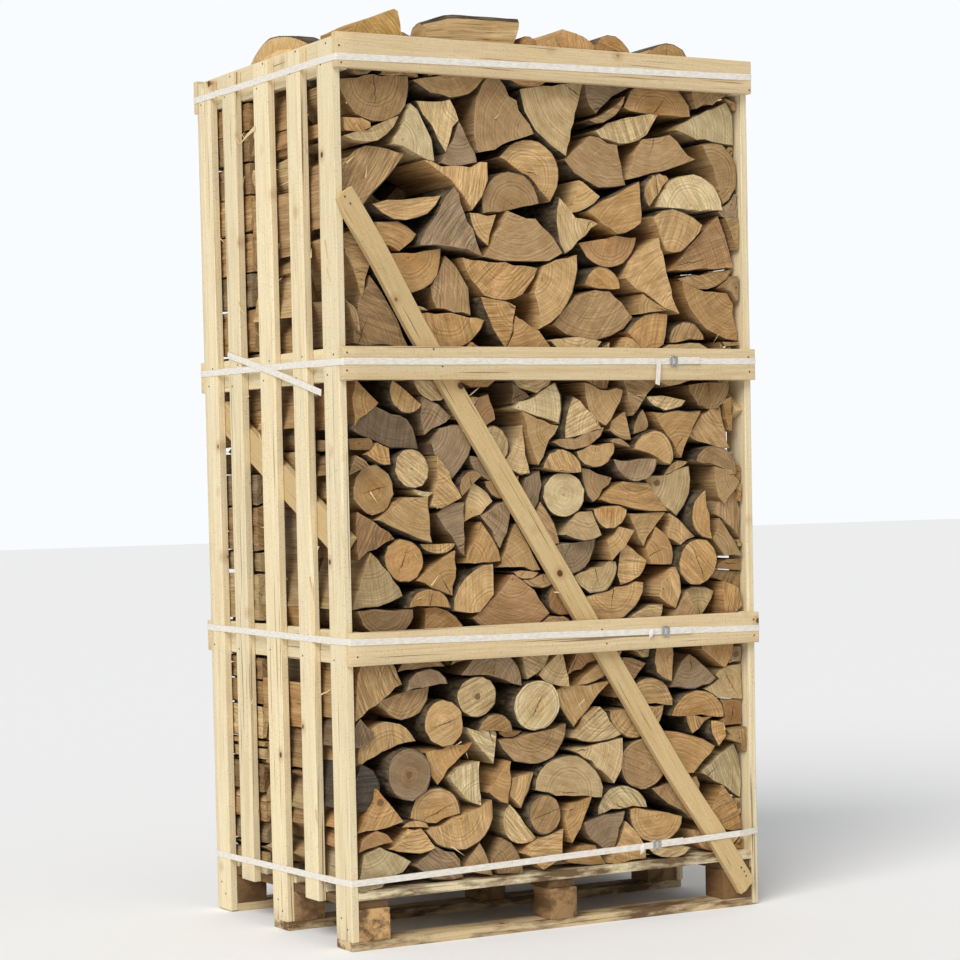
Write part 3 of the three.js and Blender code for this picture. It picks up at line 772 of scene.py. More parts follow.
def rounded_loop(corners, radius=2.5, spacing=40):
    """The loop's path and outward directions, with its corners bent round and its runs cut into steps."""
    path, outward = [], []
    corners = [np.array(c, float) for c in corners]
    for i, corner in enumerate(corners):
        before, after = corners[i - 1], corners[(i + 1) % len(corners)]
        a = (corner - before) / np.linalg.norm(corner - before)
        b = (after - corner) / np.linalg.norm(after - corner)
        out_a, out_b = np.array([a[1], -a[0]]), np.array([b[1], -b[0]])
        bend = math.acos(np.clip(a @ b, -1, 1))
        cut = radius * math.tan(bend / 2)
        centre = corner - a * cut - out_a * radius
        for step in range(5):
            share = step / 4
            way = out_a * (1 - share) + out_b * share
            way = way / np.linalg.norm(way)
            path.append(centre + way * radius)
            outward.append(way)
        start = corner + b * cut
        gap = np.linalg.norm(after - corner) - cut - 4
        for step in range(1, int(gap / spacing)):
            path.append(start + b * step * spacing)
            outward.append(out_b)
    return np.array(path), np.array(outward)


strap_stock = Stock("grain")
strap_rng = np.random.default_rng(5)
for level in LOOP:
    flat_path, flat_out = rounded_loop(loop_outline(level))
    heights = strap_height(level, flat_path[:, 0], flat_path[:, 1])
    heights = heights + wander(strap_rng, 26, len(heights), 0.6)
    path = np.column_stack([flat_path, heights])
    out = np.column_stack([flat_out, np.zeros(len(flat_out))])
    up = np.tile([0.0, 0.0, 1.0], (len(path), 1))
    ribbon(strap_stock, path, out, up, closed=True)
strap_stock.piece("straps", [strap_finish], "strap", [f"strap_{level}" for level in LOOP])

# A loose end slants down over the left side, across the slats and the upper strap
loose_stock = Stock("grain")
share = np.linspace(0, 1, 18)
loose_path = np.column_stack([
    np.full(18, -601.7), 240 - 545 * share, 1471 - 119 * share + 3 * np.sin(share * math.pi)
])
loose_up = np.tile([0.0, 0.213, 0.977], (18, 1)) * np.array([1, -1, 1])
ribbon(loose_stock, loose_path, np.tile([-1.0, 0, 0], (18, 1)), loose_up, thickness=0.9)
loose_stock.piece("strap_loose", [strap_finish], "strap", ["strap_loose_end"])


def rod(stock, path, radius, sides=10):
    """A closed round wire along a ring of points."""
    path = np.asarray(path, float)
    count = len(path)
    points = []
    normal = np.array([0.0, -1.0, 0.0])
    for i in range(count):
        along = path[(i + 1) % count] - path[i - 1]
        along = along / np.linalg.norm(along)
        side = np.cross(along, normal)
        side = side / np.linalg.norm(side)
        for k in range(sides):
            angle = 2 * math.pi * k / sides
            points.append(path[i] + radius * (math.cos(angle) * side + math.sin(angle) * normal))
    faces = []
    for i in range(count):
        j = (i + 1) % count
        for k in range(sides):
            m = (k + 1) % sides
            faces.append((i * sides + k, i * sides + m, j * sides + m, j * sides + k))
    stock.add(points, [face[::-1] for face in faces], 0)


def ring_path(width, height, corner, steps=5):
    """A rounded rectangle of [x, z] points."""
    path = []
    for k, (u, v) in enumerate(((1, 1), (-1, 1), (-1, -1), (1, -1))):
        for step in range(steps):
            angle = math.pi / 2 * (k + step / (steps - 1))
            x = u * (width / 2 - corner) + corner * math.cos(angle)
            z = v * (height / 2 - corner) + corner * math.sin(angle)
            path.append((x, z))
    return path


# A buckle is a bent wire frame with a narrower one inside it
WIRE_RADIUS = 1.6
WIRE_FRAMES = (ring_path(20.6, 23.6, 3), ring_path(9, 23.4, 2.2))
buckle_stock = Stock()
buckle_nodes = ["buckle_upper", "buckle_lower", "buckle_bottom"]
for buckle in buckle_nodes:
    low, high = millimetres(buckle)
    cx, cy, cz = (low + high) / 2
    for wire in WIRE_FRAMES:
        rod(buckle_stock, [(cx + x, cy, cz + z) for x, z in wire], WIRE_RADIUS)
buckle_stock.piece("buckles", [buckle_finish], "buckle", buckle_nodes)


# Where a strap leaves its buckle it runs double for a way, and its free end hangs in front. Each tail's
# drop and how far it leans to the left
DOUBLED = 66
TAILS = {"upper": (66, 8), "lower": (20, 3), "bottom": (22, 3)}
tail_stock = Stock("grain")
for level, (drop, lean) in TAILS.items():
    low, high = millimetres(f"buckle_{level}")
    middle_x, face = (low[0] + high[0]) / 2, high[1] - 0.2
    share = np.linspace(0, 1, 7)
    double_x = middle_x + 13 + DOUBLED * share
    double_z = strap_height(level, double_x, -400) + 1.6
    double = np.column_stack([double_x, face - 1.6 - 0.7 * np.sin(share * 9), double_z])
    ribbon(tail_stock, double, np.tile([0.0, -1, 0], (7, 1)), np.tile([0.0, 0, 1], (7, 1)), width=17.5)
    hang_x = middle_x - 46 - lean * share
    hang_y = face - 1.3 - 5 * np.sin(share * 2.2)
    top_z = strap_height(level, middle_x - 46, -400) + 6
    hang = np.column_stack([hang_x, hang_y, top_z - drop * share])
    across = np.array([0.96, 0, -0.28]) if level == "upper" else np.array([0.9, 0, 0.43])
    ribbon(tail_stock, hang, np.tile([0.0, -1, 0], (7, 1)), np.tile(across, (7, 1)), thickness=0.9, width=13)

# The top strap's ends are joined in a crumpled lap near the back of the left side
share = np.linspace(0, 1, 9)
lap_y = 296 - 62 * share
lap_z = strap_height("top", -600, lap_y) + 2 * np.cos(share * 14)
lap = np.column_stack([-601.6 - 1.6 * (np.arange(9) % 2), lap_y, lap_z])
ribbon(tail_stock, lap, np.tile([-1.0, 0, 0], (9, 1)), np.tile([0.0, 0, 1], (9, 1)), width=17)
tail_stock.piece("strap_tails", [strap_finish], "strap", [])


# ---- Nails and splinters ----


def seeds(name, places, facings):
    """A mesh of loose points, each with the way it faces, for a tree to build on."""
    mesh = bpy.data.meshes.new(name)
    mesh.from_pydata(metres(places).tolist(), [], [])
    data = mesh.attributes.new("facing", "FLOAT_VECTOR", "POINT").data
    data.foreach_set("vector", np.asarray(facings, np.float32).ravel())
    made = bpy.data.objects.new(name, mesh)
    bpy.context.scene.collection.objects.link(made)
    return made


def tree_with(name, sizes):
    """An empty Geometry Nodes tree with a named input for each size."""
    tree = bpy.data.node_groups.new(name, "GeometryNodeTree")
    tree.interface.new_socket("Points", in_out="INPUT", socket_type="NodeSocketGeometry")
    for label, value in sizes.items():
        kind = "NodeSocketInt" if isinstance(value, int) else "NodeSocketFloat"
        socket = tree.interface.new_socket(label, in_out="INPUT", socket_type=kind)
        socket.default_value = value
    tree.interface.new_socket("Geometry", in_out="OUTPUT", socket_type="NodeSocketGeometry")
    return tree, node(tree, "NodeGroupInput").outputs


def grown(host, tree, sizes, name):
    """Runs a tree on its points and keeps the result as a plain mesh piece."""
    modifier = host.modifiers.new("grow", "NODES")
    modifier.node_group = tree
    for item in tree.interface.items_tree:
        if item.in_out == "INPUT" and item.name in sizes:
            modifier[item.identifier] = sizes[item.name]
    graph = bpy.context.evaluated_depsgraph_get()
    shown = host.evaluated_get(graph)
    mesh = bpy.data.meshes.new_from_object(shown, preserve_all_data_layers=True, depsgraph=graph)
    mesh.name = name
    made = bpy.data.objects.new(name, mesh)
    bpy.context.scene.collection.objects.link(made)
    bpy.data.objects.remove(host)
    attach(made, "root")
    return made


# Nail heads in metres, tipped at random by up to 0.12 radians
NAIL_SIZES = {"Head diameter": 0.0052, "Head height": 0.0012, "Tilt": 0.12, "Seed": 3}
nail_tree, given = tree_with("nail heads", NAIL_SIZES)
radius = node(nail_tree, MATH, {0: given["Head diameter"], 1: 0.5}, 0, **TIMES)
rounded = node(nail_tree, MATH, {0: radius, 1: 0.72}, 0, **TIMES)
disc = {"Vertices": 9, "Radius Top": rounded, "Radius Bottom": radius, "Depth": given["Head height"]}
head = node(nail_tree, "GeometryNodeMeshCone", disc, 0)
facing_name = {"Name": "facing"}
facing = node(nail_tree, "GeometryNodeInputNamedAttribute", facing_name, 0, data_type="FLOAT_VECTOR")
aim = node(nail_tree, "FunctionNodeAlignRotationToVector", {"Vector": facing}, 0, axis="Z")
other_way = node(nail_tree, MATH, {0: given["Tilt"], 1: -1.0}, 0, **TIMES)
spread = {0: other_way, 1: given["Tilt"], "Seed": given["Seed"]}
tilt = node(nail_tree, "FunctionNodeRandomValue", spread, 0, data_type="FLOAT_VECTOR")
tipped = node(nail_tree, "FunctionNodeRotateRotation", {0: aim, 1: tilt}, 0, rotation_space="LOCAL")
heads = {"Points": given["Points"], "Instance": head, "Rotation": tipped}
placed_heads = node(nail_tree, "GeometryNodeInstanceOnPoints", heads, 0)
solid = node(nail_tree, "GeometryNodeRealizeInstances", {"Geometry": placed_heads}, 0)
steel = node(nail_tree, "GeometryNodeSetMaterial", {"Geometry": solid, "Material": nail_finish}, 0)
node(nail_tree, "NodeGroupOutput", {0: steel})

nail_rng = np.random.default_rng(9)
nail_places, nail_facings = [], []


def nail(place, facing):
    """A nail, driven within a few millimetres of its place."""
    nail_places.append(np.array(place, float) + nail_rng.normal(0, 2.5, 3) * (1 - np.abs(facing)))
    nail_facings.append(facing)


# Each rail is nailed to the posts' edges and, where the long brace passes behind it, to the brace. Places
# in x and z on the front; the back is the front turned half round.
RAIL_NAILS = {
    "top": [(-589, 2167), (-588, 2126), (591, 2166), (593, 2129)],
    "upper": [(-588, 1441), (-587, 1400), (579, 1440), (582, 1399), (-353, 1449), (-332, 1411)],
    "lower": [(-576, 716), (-584, 754), (584, 752), (586, 714), (127, 717), (108, 751)],
}
for name in rails:
    low, high = millimetres(name)
    out = -1 if name.startswith("front") else 1
    face = low[1] if out < 0 else high[1]
    for x, z in RAIL_NAILS[name.split("_")[-1]]:
        nail((-out * x, face, z), (0, out, 0))
# The long brace is nailed at both ends, and each upright twice to every rail and, at a post, to its block
BRACE_FACE = 420.4
BRACE_NAILS = [(-578, 1812), (-570, 1796), (545, 78), (536, 92), (528, 106)]
UPRIGHTS = ("post_front", "slat_front", "post_middle", "slat_back", "post_back")
for side, sign in (("left", -1), ("right", 1)):
    for part in UPRIGHTS:
        low, high = millimetres(f"{side}_{part}")
        face = low[0] if sign < 0 else high[0]
        middle_y = (low[1] + high[1]) / 2
        for level in ("top", "upper", "lower"):
            rail_low, rail_high = millimetres(f"{side}_rail_{level}")
            middle_z = (rail_low[2] + rail_high[2]) / 2
            nail((face, middle_y - 17, middle_z + 24), (sign, 0, 0))
            nail((face, middle_y + 19, middle_z - 25), (sign, 0, 0))
        if part.startswith("post"):
            nail((face, middle_y - 12, 48), (sign, 0, 0))
            nail((face, middle_y + 14, 74), (sign, 0, 0))
for out in (-1, 1):
    for x, z in BRACE_NAILS:
        nail((-out * x, out * BRACE_FACE, z), (0, out, 0))
nail_host = seeds("nail_points", nail_places, nail_facings)
grown(nail_host, nail_tree, NAIL_SIZES, "nail_heads")

# Splinters in metres, each from 0.35 to 1.3 times as long as Length, and swaying up to 0.75 radians
SPLINTER_SIZES = {
    "Shortest": 0.35,
    "Longest": 1.3,
    "Width": 0.0022,
    "Length": 0.034,
    "Sway": 0.75,
    "Seed": 8,
}
splinter_tree, given = tree_with("splinters", SPLINTER_SIZES)
blade = {"Vertices": 4, "Radius Top": 0.0001, "Radius Bottom": given["Width"], "Depth": given["Length"]}
sliver = node(splinter_tree, "GeometryNodeMeshCone", blade, 0)
facing = node(splinter_tree, "GeometryNodeInputNamedAttribute", facing_name, 0, data_type="FLOAT_VECTOR")
aim = node(splinter_tree, "FunctionNodeAlignRotationToVector", {"Vector": facing}, 0, axis="Z")
other_way = node(splinter_tree, MATH, {0: given["Sway"], 1: -1.0}, 0, **TIMES)
spread = {0: other_way, 1: given["Sway"], "Seed": given["Seed"]}
sway = node(splinter_tree, "FunctionNodeRandomValue", spread, 0, data_type="FLOAT_VECTOR")
bent = node(splinter_tree, "FunctionNodeRotateRotation", {0: aim, 1: sway}, 0, rotation_space="LOCAL")
spread = {2: given["Shortest"], 3: given["Longest"], "Seed": given["Seed"]}
growth = node(splinter_tree, "FunctionNodeRandomValue", spread, 1, data_type="FLOAT")
shape = node(splinter_tree, "ShaderNodeCombineXYZ", {0: 0.45, 1: 1.0, 2: growth}, 0)
slivers = {"Points": given["Points"], "Instance": sliver, "Rotation": bent, "Scale": shape}
scattered = node(splinter_tree, "GeometryNodeInstanceOnPoints", slivers, 0)
solid = node(splinter_tree, "GeometryNodeRealizeInstances", {"Geometry": scattered}, 0)
fibre = {"Geometry": solid, "Material": splinter_finish}
finished = node(splinter_tree, "GeometryNodeSetMaterial", fibre, 0)
node(splinter_tree, "NodeGroupOutput", {0: finished})

splinter_rng = np.random.default_rng(21)
splinter_places, splinter_facings = [], []
# Down both sides beside the slats, and a few at the front between the logs
SLAT_GAPS = (-315, -222, -144, -36, 49, 162, 240, 315)
for sign in (-1, 1):
    for gap_y in SLAT_GAPS:
        for _ in range(9):
            z = splinter_rng.uniform(240, 2080)
            splinter_places.append((sign * 583, gap_y + splinter_rng.normal(0, 6), z))
            lean_y, lean_z = splinter_rng.choice([-0.8, 0.8]), splinter_rng.choice([-1, 0.6])
            splinter_facings.append((sign * 0.1, lean_y, lean_z))
for _ in range(34):
    x, z = splinter_rng.uniform(-560, 560), splinter_rng.uniform(160, 2100)
    splinter_places.append((x, -385, z))
    splinter_facings.append((splinter_rng.normal(0, 1), -0.3, splinter_rng.normal(0, 1)))

# Strips torn from the edges of the side boards, each with its root and its tip in y and z, its width and
# how far it curls
TORN = [
    ((164, 2028), (122, 1999), 5.0, 2),
    ((38, 2031), (124, 1999), 11.0, 4),
    ((166, 1603), (110, 1573), 5.0, 9),
    ((-343, 1716), (-372, 1660), 4.0, 7),
    ((-349, 1650), (-374, 1622), 3.5, 6),
    ((60, 1262), (24, 1236), 4.0, 6),
    ((-214, 905), (-240, 868), 4.0, 7),
    ((-216, 330), (-236, 296), 4.0, 6),
    ((150, 566), (126, 600), 4.0, 5),
]
torn_stock = Stock("grain")
share = np.linspace(0, 1, 9)
for root, tip, width, curl in TORN:
    root, tip = np.array(root, float), np.array(tip, float)
    way = (tip - root) / np.linalg.norm(tip - root)
    aside = np.array([-way[1], way[0]])
    flat_path = root + (tip - root) * share[:, None] + aside * (np.sin(share * 2.6) * curl)[:, None]
    out_by = 601.6 + curl * 0.5 * share * share
    strip_path = np.column_stack([-out_by, flat_path])
    strip_up = np.column_stack([np.zeros(9), np.tile(aside, (9, 1)) * (1.12 - share)[:, None]])
    ribbon(torn_stock, strip_path, np.tile([-1.0, 0, 0], (9, 1)), strip_up, thickness=0.8, width=width)
torn_stock.piece("torn_strips", [splinter_finish], "crate_board", [])

splinter_host = seeds("splinter_points", splinter_places, splinter_facings)
grown(splinter_host, splinter_tree, SPLINTER_SIZES, "splinters")


# ---- Split logs ----

# How common each colour of wood is, from fresh beech to a few grey old logs
TINTS = {
    "#D3AE7A": 6, "#CFA56E": 3, "#BE9C70": 4, "#DCBF8E": 3, "#BF976A": 1.5, "#A88F70": 1.5, "#E0CA9C": 0.8,
    "#6A6156": 0.15
}
TINT_COLOURS = [srgb(code) for code in TINTS]
TINT_SHARES = np.array(list(TINTS.values())) / sum(TINTS.values())
# How common each kind of split is
KINDS = {"half": 0.19, "wedge": 0.3, "quad": 0.27, "round": 0.05, "slab": 0.05, "shard": 0.04, "blunt": 0.1}


def arc(radius, start, end, rng):
    """Points on the bark side, every 13 degrees or so, a little out of round."""
    steps = max(3, int(abs(end - start) / math.radians(13)))
    angles = np.linspace(start, end, steps + 1)
    swell = 1 + 0.045 * np.sin(angles * 2 + rng.uniform(0, 6)) + rng.normal(0, 0.014, len(angles))
    return np.column_stack([np.cos(angles), np.sin(angles)]) * (radius * swell)[:, None]


def torn_side(rng, corners):
    """Points along a split side, bowed a little and ragged."""
    torn = []
    for a, b in zip(corners[:-1], corners[1:]):
        length = np.linalg.norm(b - a)
        pieces = max(2, int(length / 22))
        out = np.array([b[1] - a[1], a[0] - b[0]]) / max(length, 1)
        bow = rng.normal(0, 0.035) * length
        for step in range(1, pieces + 1):
            share = step / pieces
            ragged = rng.normal(0, 2.1) if step < pieces else 0
            torn.append(a + (b - a) * share + out * (bow * math.sin(math.pi * share) + ragged))
    return np.array(torn[:-1]) if len(torn) > 1 else np.empty((0, 2))


def section(rng, size, kind):
    """The outline of a split log about its pith, going round anticlockwise, with a mark for each point
    that has bark. Sizes are in millimetres."""
    straight = []
    if kind == "round":
        bark = arc(size * rng.uniform(0.36, 0.46), 0, 2 * math.pi, rng)[:-1]
        return bark, np.ones(len(bark), bool)
    if kind == "half":
        opening = rng.uniform(-0.1, 0.25)
        bark = arc(size * rng.uniform(0.48, 0.6), opening, math.pi - opening * rng.uniform(0.2, 1), rng)
    elif kind == "slab":
        spread = rng.uniform(0.75, 1.0)
        bark = arc(size * rng.uniform(0.55, 0.75), math.pi / 2 - spread, math.pi / 2 + spread, rng)
    else:
        radius = size * rng.uniform(0.8, 1.0)
        spread = rng.uniform(0.6, 0.85) if kind == "shard" else rng.uniform(0.95, 1.7)
        bark = arc(radius, 0, spread, rng)
        far = np.array([math.cos(spread), math.sin(spread)])
        tip = rng.uniform(-0.04, 0.05, 2) * radius
        if kind == "quad":
            straight = [far * rng.uniform(0.25, 0.5) * radius, [rng.uniform(0.25, 0.5) * radius, 0]]
        elif kind == "blunt":
            straight = [far * rng.uniform(0.3, 0.45) * radius, tip + 0.12 * radius]
        else:
            straight = [tip]
    if kind in ("quad", "blunt", "wedge") and rng.random() < 0.55:
        chord = bark[0] + (bark[-1] - bark[0]) * np.linspace(0, 1, len(bark))[:, None]
        bark = bark + (chord - bark) * rng.uniform(0.35, 0.9)
        bark[1:-1] += rng.normal(0, 0.012 * size, (len(bark) - 2, 2))
    corners = np.vstack([bark[-1:], *[[point] for point in straight], bark[:1]])
    outline = np.vstack([bark, torn_side(rng, corners)])
    barked = np.zeros(len(outline), bool)
    barked[: len(bark)] = rng.random() < 0.8
    return outline, barked


def turned(points, angle):
    """Flat points turned about the pith."""
    c, s = math.cos(angle), math.sin(angle)
    return points @ np.array([[c, s], [-s, c]])


# A row is stacked on columns STEP wide between the slats at WALL, or between the rails and braces inside
# them at RAIL_WALL, with CLOSE left free beside each log
STEP = 3.0
WALL = 577.0
RAIL_WALL = 556.0
CLOSE = 1.2
DECK = 145.0
MIDDLE_TIER, UPPER_TIER = 740, 1400


def profile(outline):
    """Lowest and highest edge of an outline in each column, with a little room either side."""
    left = math.floor((outline[:, 0].min() - CLOSE) / STEP)
    right = math.ceil((outline[:, 0].max() + CLOSE) / STEP)
    columns = np.arange(left, right + 1) * STEP
    start, end = outline, np.roll(outline, -1, 0)
    swap = (end[:, 0] < start[:, 0])[:, None]
    a, b = np.where(swap, end, start), np.where(swap, start, end)
    run = np.maximum(b[:, 0] - a[:, 0], 1e-6)
    slope = (b[:, 1] - a[:, 1]) / run
    x = columns[:, None]
    inside = (x >= a[:, 0] - STEP) & (x <= b[:, 0] + STEP)
    z = a[:, 1] + slope * (np.clip(x, a[:, 0], b[:, 0]) - a[:, 0])
    low = np.where(inside, z, np.inf).min(1)
    high = np.where(inside, z, -np.inf).max(1)
    return left, low, high


def shallow(top, width):
    """Closes pits in a stack's upper edge that are too narrow for a log."""
    for pick in (np.max, np.min):
        edged = np.pad(top, width // 2, mode="edge")
        top = pick(np.lib.stride_tricks.sliding_window_view(edged, width), axis=1)
    return top


def stack_row(rng, ceiling, bands, rounds, pit):
    """Stacks one row of logs: each goes where it lies lowest with the least empty room under it. bands
    gives, for the left and the right wall, the heights where a rail or a brace stands out of it. rounds
    is how many splits are tried for each place, and pit how many columns wide a log can still drop in."""
    count = int(2 * WALL / STEP) + 1
    columns = -WALL + np.arange(count) * STEP
    top = np.full(count, DECK)
    limit = ceiling(columns)
    walls = (columns < -RAIL_WALL, columns > RAIL_WALL)
    middle = ~(walls[0] | walls[1])
    kinds, shares = list(KINDS), list(KINDS.values())
    logs = []
    misses = 0
    near_walls = (middle & (columns < -RAIL_WALL + 130), middle & (columns > RAIL_WALL - 130))
    while misses < 12:
        top = shallow(top, pit)
        # Beside a rail or a brace a log stays under it until the row has risen past it
        reach = limit.copy()
        for wall, beside, spans in zip(walls, near_walls, bands):
            for low, high in spans:
                if np.percentile(top[beside], 40) > low - 50:
                    top[wall] = np.maximum(top[wall], high)
                elif top[wall].max() <= low:
                    reach[wall] = np.minimum(reach[wall], low)
        # One log in ten is small, and so are the last ones, which fill what room is left
        lowest = np.percentile(top[middle], 10)
        size = log_size(lowest) * np.clip(rng.lognormal(0, 0.2), 0.62, 1.3)
        if rng.random() < 0.1 or misses > 3:
            size *= 0.6
        favoured = rng.choice(kinds, p=shares)
        best = None
        for attempt in range(rounds):
            kind = favoured if attempt < rounds * 0.6 else rng.choice(kinds, p=shares)
            outline, barked = section(rng, size, kind)
            lie = rng.uniform(0, 2 * math.pi)
            if kind in ("half", "slab") and rng.random() < 0.75:
                lie = rng.choice([0, math.pi, math.pi]) + rng.normal(0, 0.22)
            lay = turned(outline, lie)
            left, low, high = profile(lay)
            width = len(low)
            windows = np.lib.stride_tricks.sliding_window_view(top, width)
            rest = (windows - low).max(1)
            waste = (rest[:, None] + low - windows).mean(1)
            room = np.lib.stride_tricks.sliding_window_view(reach, width)
            fits = (rest[:, None] + high <= room).all(1)
            score = rest + 0.6 * low.mean() + 0.4 * high.max() + 1.1 * waste + np.where(fits, 0, 1e6)
            at = int(score.argmin())
            if score[at] < 1e5 and (best is None or score[at] < best[0]):
                best = (score[at], lay, barked, at, left, low, high, rest[at])
        if best is None:
            misses += 1
            continue
        misses = 0
        _, lay, barked, at, left, low, high, rest = best
        span = slice(at, at + len(low))
        top[span] = np.maximum(top[span], rest + high)
        logs.append((lay, barked, np.array([columns[at] - left * STEP, rest])))
    return logs


def log_rings(rng, outline, barked, near, far, fat, stations):
    """The outlines of a log from its near end to its far one, as [across, up, depth] about the pith."""
    around = len(outline)
    centre = outline.mean(0)
    inner = np.linspace(near, far, stations)[1:-1]
    along = np.array([near, near + 1.2, *inner, far - 1.2, far])
    count = len(along)
    swell = fat + wander(rng, 4, count, 0.014)
    shift = np.column_stack([wander(rng, 3, count, 1.8), wander(rng, 3, count, 1.0)])
    rough = np.stack([wander(rng, stations - 2, count, 1.7) for _ in range(around)], 1)
    rough[:, barked] *= 0.4
    away = outline - centre
    unit = away / np.linalg.norm(away, axis=1)[:, None]
    slant = np.abs(away @ rng.normal(0, 0.05, 2))
    rings = []
    for i, y in enumerate(along):
        edge = 0.9 if i in (0, count - 1) else 0.0
        flat = centre + away * swell[i] + unit * (rough[i] - edge)[:, None] + shift[i]
        fade = max(0.0, 1 - (y - near) / 60) + max(0.0, 1 - (far - y) / 60)
        way = 1 if y - near < (far - near) / 2 else -1
        rings.append(np.column_stack([flat, y + slant * fade * way]))
    # A narrower ring on each end gives its finish an edge to stop at
    front, back = rings[0].copy(), rings[-1].copy()
    front[:, :2] -= unit * 2.4
    back[:, :2] -= unit * 2.4
    return [front, *rings, back]


def log(stock, rng, outline, barked, place, near, far, tint, fat=1.0, settle=None, stations=7):
    """One split log lying front to back, its outline about the pith at a place in x and z. settle may
    move its finished points."""
    around = len(outline)
    rings = log_rings(rng, outline, barked, near, far, fat, stations)
    flat = np.vstack([rings[0].mean(0), *rings, rings[-1].mean(0)])
    points = np.column_stack([flat[:, 0] + place[0], flat[:, 2], flat[:, 1] + place[1]])
    if settle is not None:
        points = settle(points)

    # What the finishes read: where the pith, the saw's strokes and a drying check or knot lie, in metres
    grain = np.column_stack([flat[:, 0], flat[:, 1], flat[:, 2] + rng.uniform(0, 90000)]) / 1000
    saw = turned(flat[:, :2], rng.uniform(0, math.pi)) / 1000 + rng.uniform(0, 60)
    depth = rng.uniform(0.2, 1.0) ** 2
    saw = np.column_stack([saw, np.full(len(saw), depth)])
    off_centre = flat[:, :2] - outline.mean(0) * rng.uniform(0, 0.6)
    crack = turned(off_centre, rng.uniform(0, 2 * math.pi)) / 1000
    # Two logs in five have a long check and the rest a short one, and about one in eleven a knot instead
    reach_out = rng.uniform(0.03, 0.07) if rng.random() < 0.4 else 0.004
    if rng.random() < 0.09:
        reach_out *= -1
    check = np.column_stack([crack[:, 0], crack[:, 1] / reach_out, np.full(len(crack), reach_out)])
    rim = np.zeros((len(rings), around))
    rim[1:-1] = np.where(barked, -1.0, 1.0)
    finish = []
    for i in range(around):
        side = 2 if barked[i] and barked[(i + 1) % around] else 1
        finish.extend([0, 0] + [side] * (len(rings) - 3) + [0, 0])
    colour = np.append(tint * rng.uniform(0.85, 1.12), rng.random() ** 2)
    layers = {"grain": grain, "saw": saw, "check": check, "rim": np.concatenate([[0], rim.ravel(), [0]])}
    layers["tint"] = np.tile(colour, (len(points), 1))
    stock.add(points, loft_faces(len(rings), around, flip=True), finish, **layers)


def log_tint(rng):
    """One of the colours of wood, by how common it is."""
    return TINT_COLOURS[rng.choice(len(TINTS), p=TINT_SHARES)]


def log_size(z):
    """How large the splits run at a height: largest in the top tier, smallest in the middle one."""
    if z > UPPER_TIER:
        return 176.0
    return 134.0 if z > MIDDLE_TIER else 148.0


# How high loose logs lie above each row, from left to right
HEAPS = {
    "front": [(-579, 0), (579, -10)],
    "middle": [(-420, 0), (-390, 40), (-300, 72), (-190, 60), (-90, 30), (-40, 58), (110, 66), (230, 30),
               (300, 50), (420, 42), (579, -5)],
    "back": [(-470, 0), (-430, 22), (-320, 60), (-200, 34), (-150, 62), (0, 54), (70, 20), (130, 48),
             (300, 38), (460, 20), (579, -10)],
}
# Each row's near and far end, and its seed
ROWS = {"front": (-398.0, -133.3, 11), "middle": (-132.3, 132.3, 12), "back": (133.3, 398.0, 13)}
LOG_LAYERS = ("grain", "tint", "saw", "check", "rim")
# Heights where the rails and, in each row, the left side's brace stand inside the slats
RAIL_BANDS = [(690, 777), (1375, 1462), (2113, 2203)]
BRACE_BANDS = {"front": (908, 1138), "middle": (1035, 1268), "back": (1165, 1395)}
OPPOSITE = {"front": "back", "middle": "middle", "back": "front"}


def near_brace(x, z, half, hand):
    """Whether a log end at x and z may touch the long brace."""
    across = np.array([brace_fall, brace_run]) / BRACE_LENGTH
    offset = (np.array([hand * x, z]) - np.array(BRACE_TOP)) @ across
    return abs(offset) < half + 32


def outer_reach(logs, sign, heights):
    """How far out the logs of a row come at each height, towards one wall."""
    reach = np.full(len(heights), -1e6)
    for outline, _, place in logs:
        x, z = sign * (outline[:, 0] + place[0]), outline[:, 1] + place[1]
        for a in range(len(x)):
            b = (a + 1) % len(x)
            low, high = min(z[a], z[b]) - 2, max(z[a], z[b]) + 2
            held = (heights >= low) & (heights <= high)
            share = np.clip((heights[held] - z[a]) / ((z[b] - z[a]) or 1), 0, 1)
            reach[held] = np.maximum(reach[held], x[a] + (x[b] - x[a]) * share)
    return reach


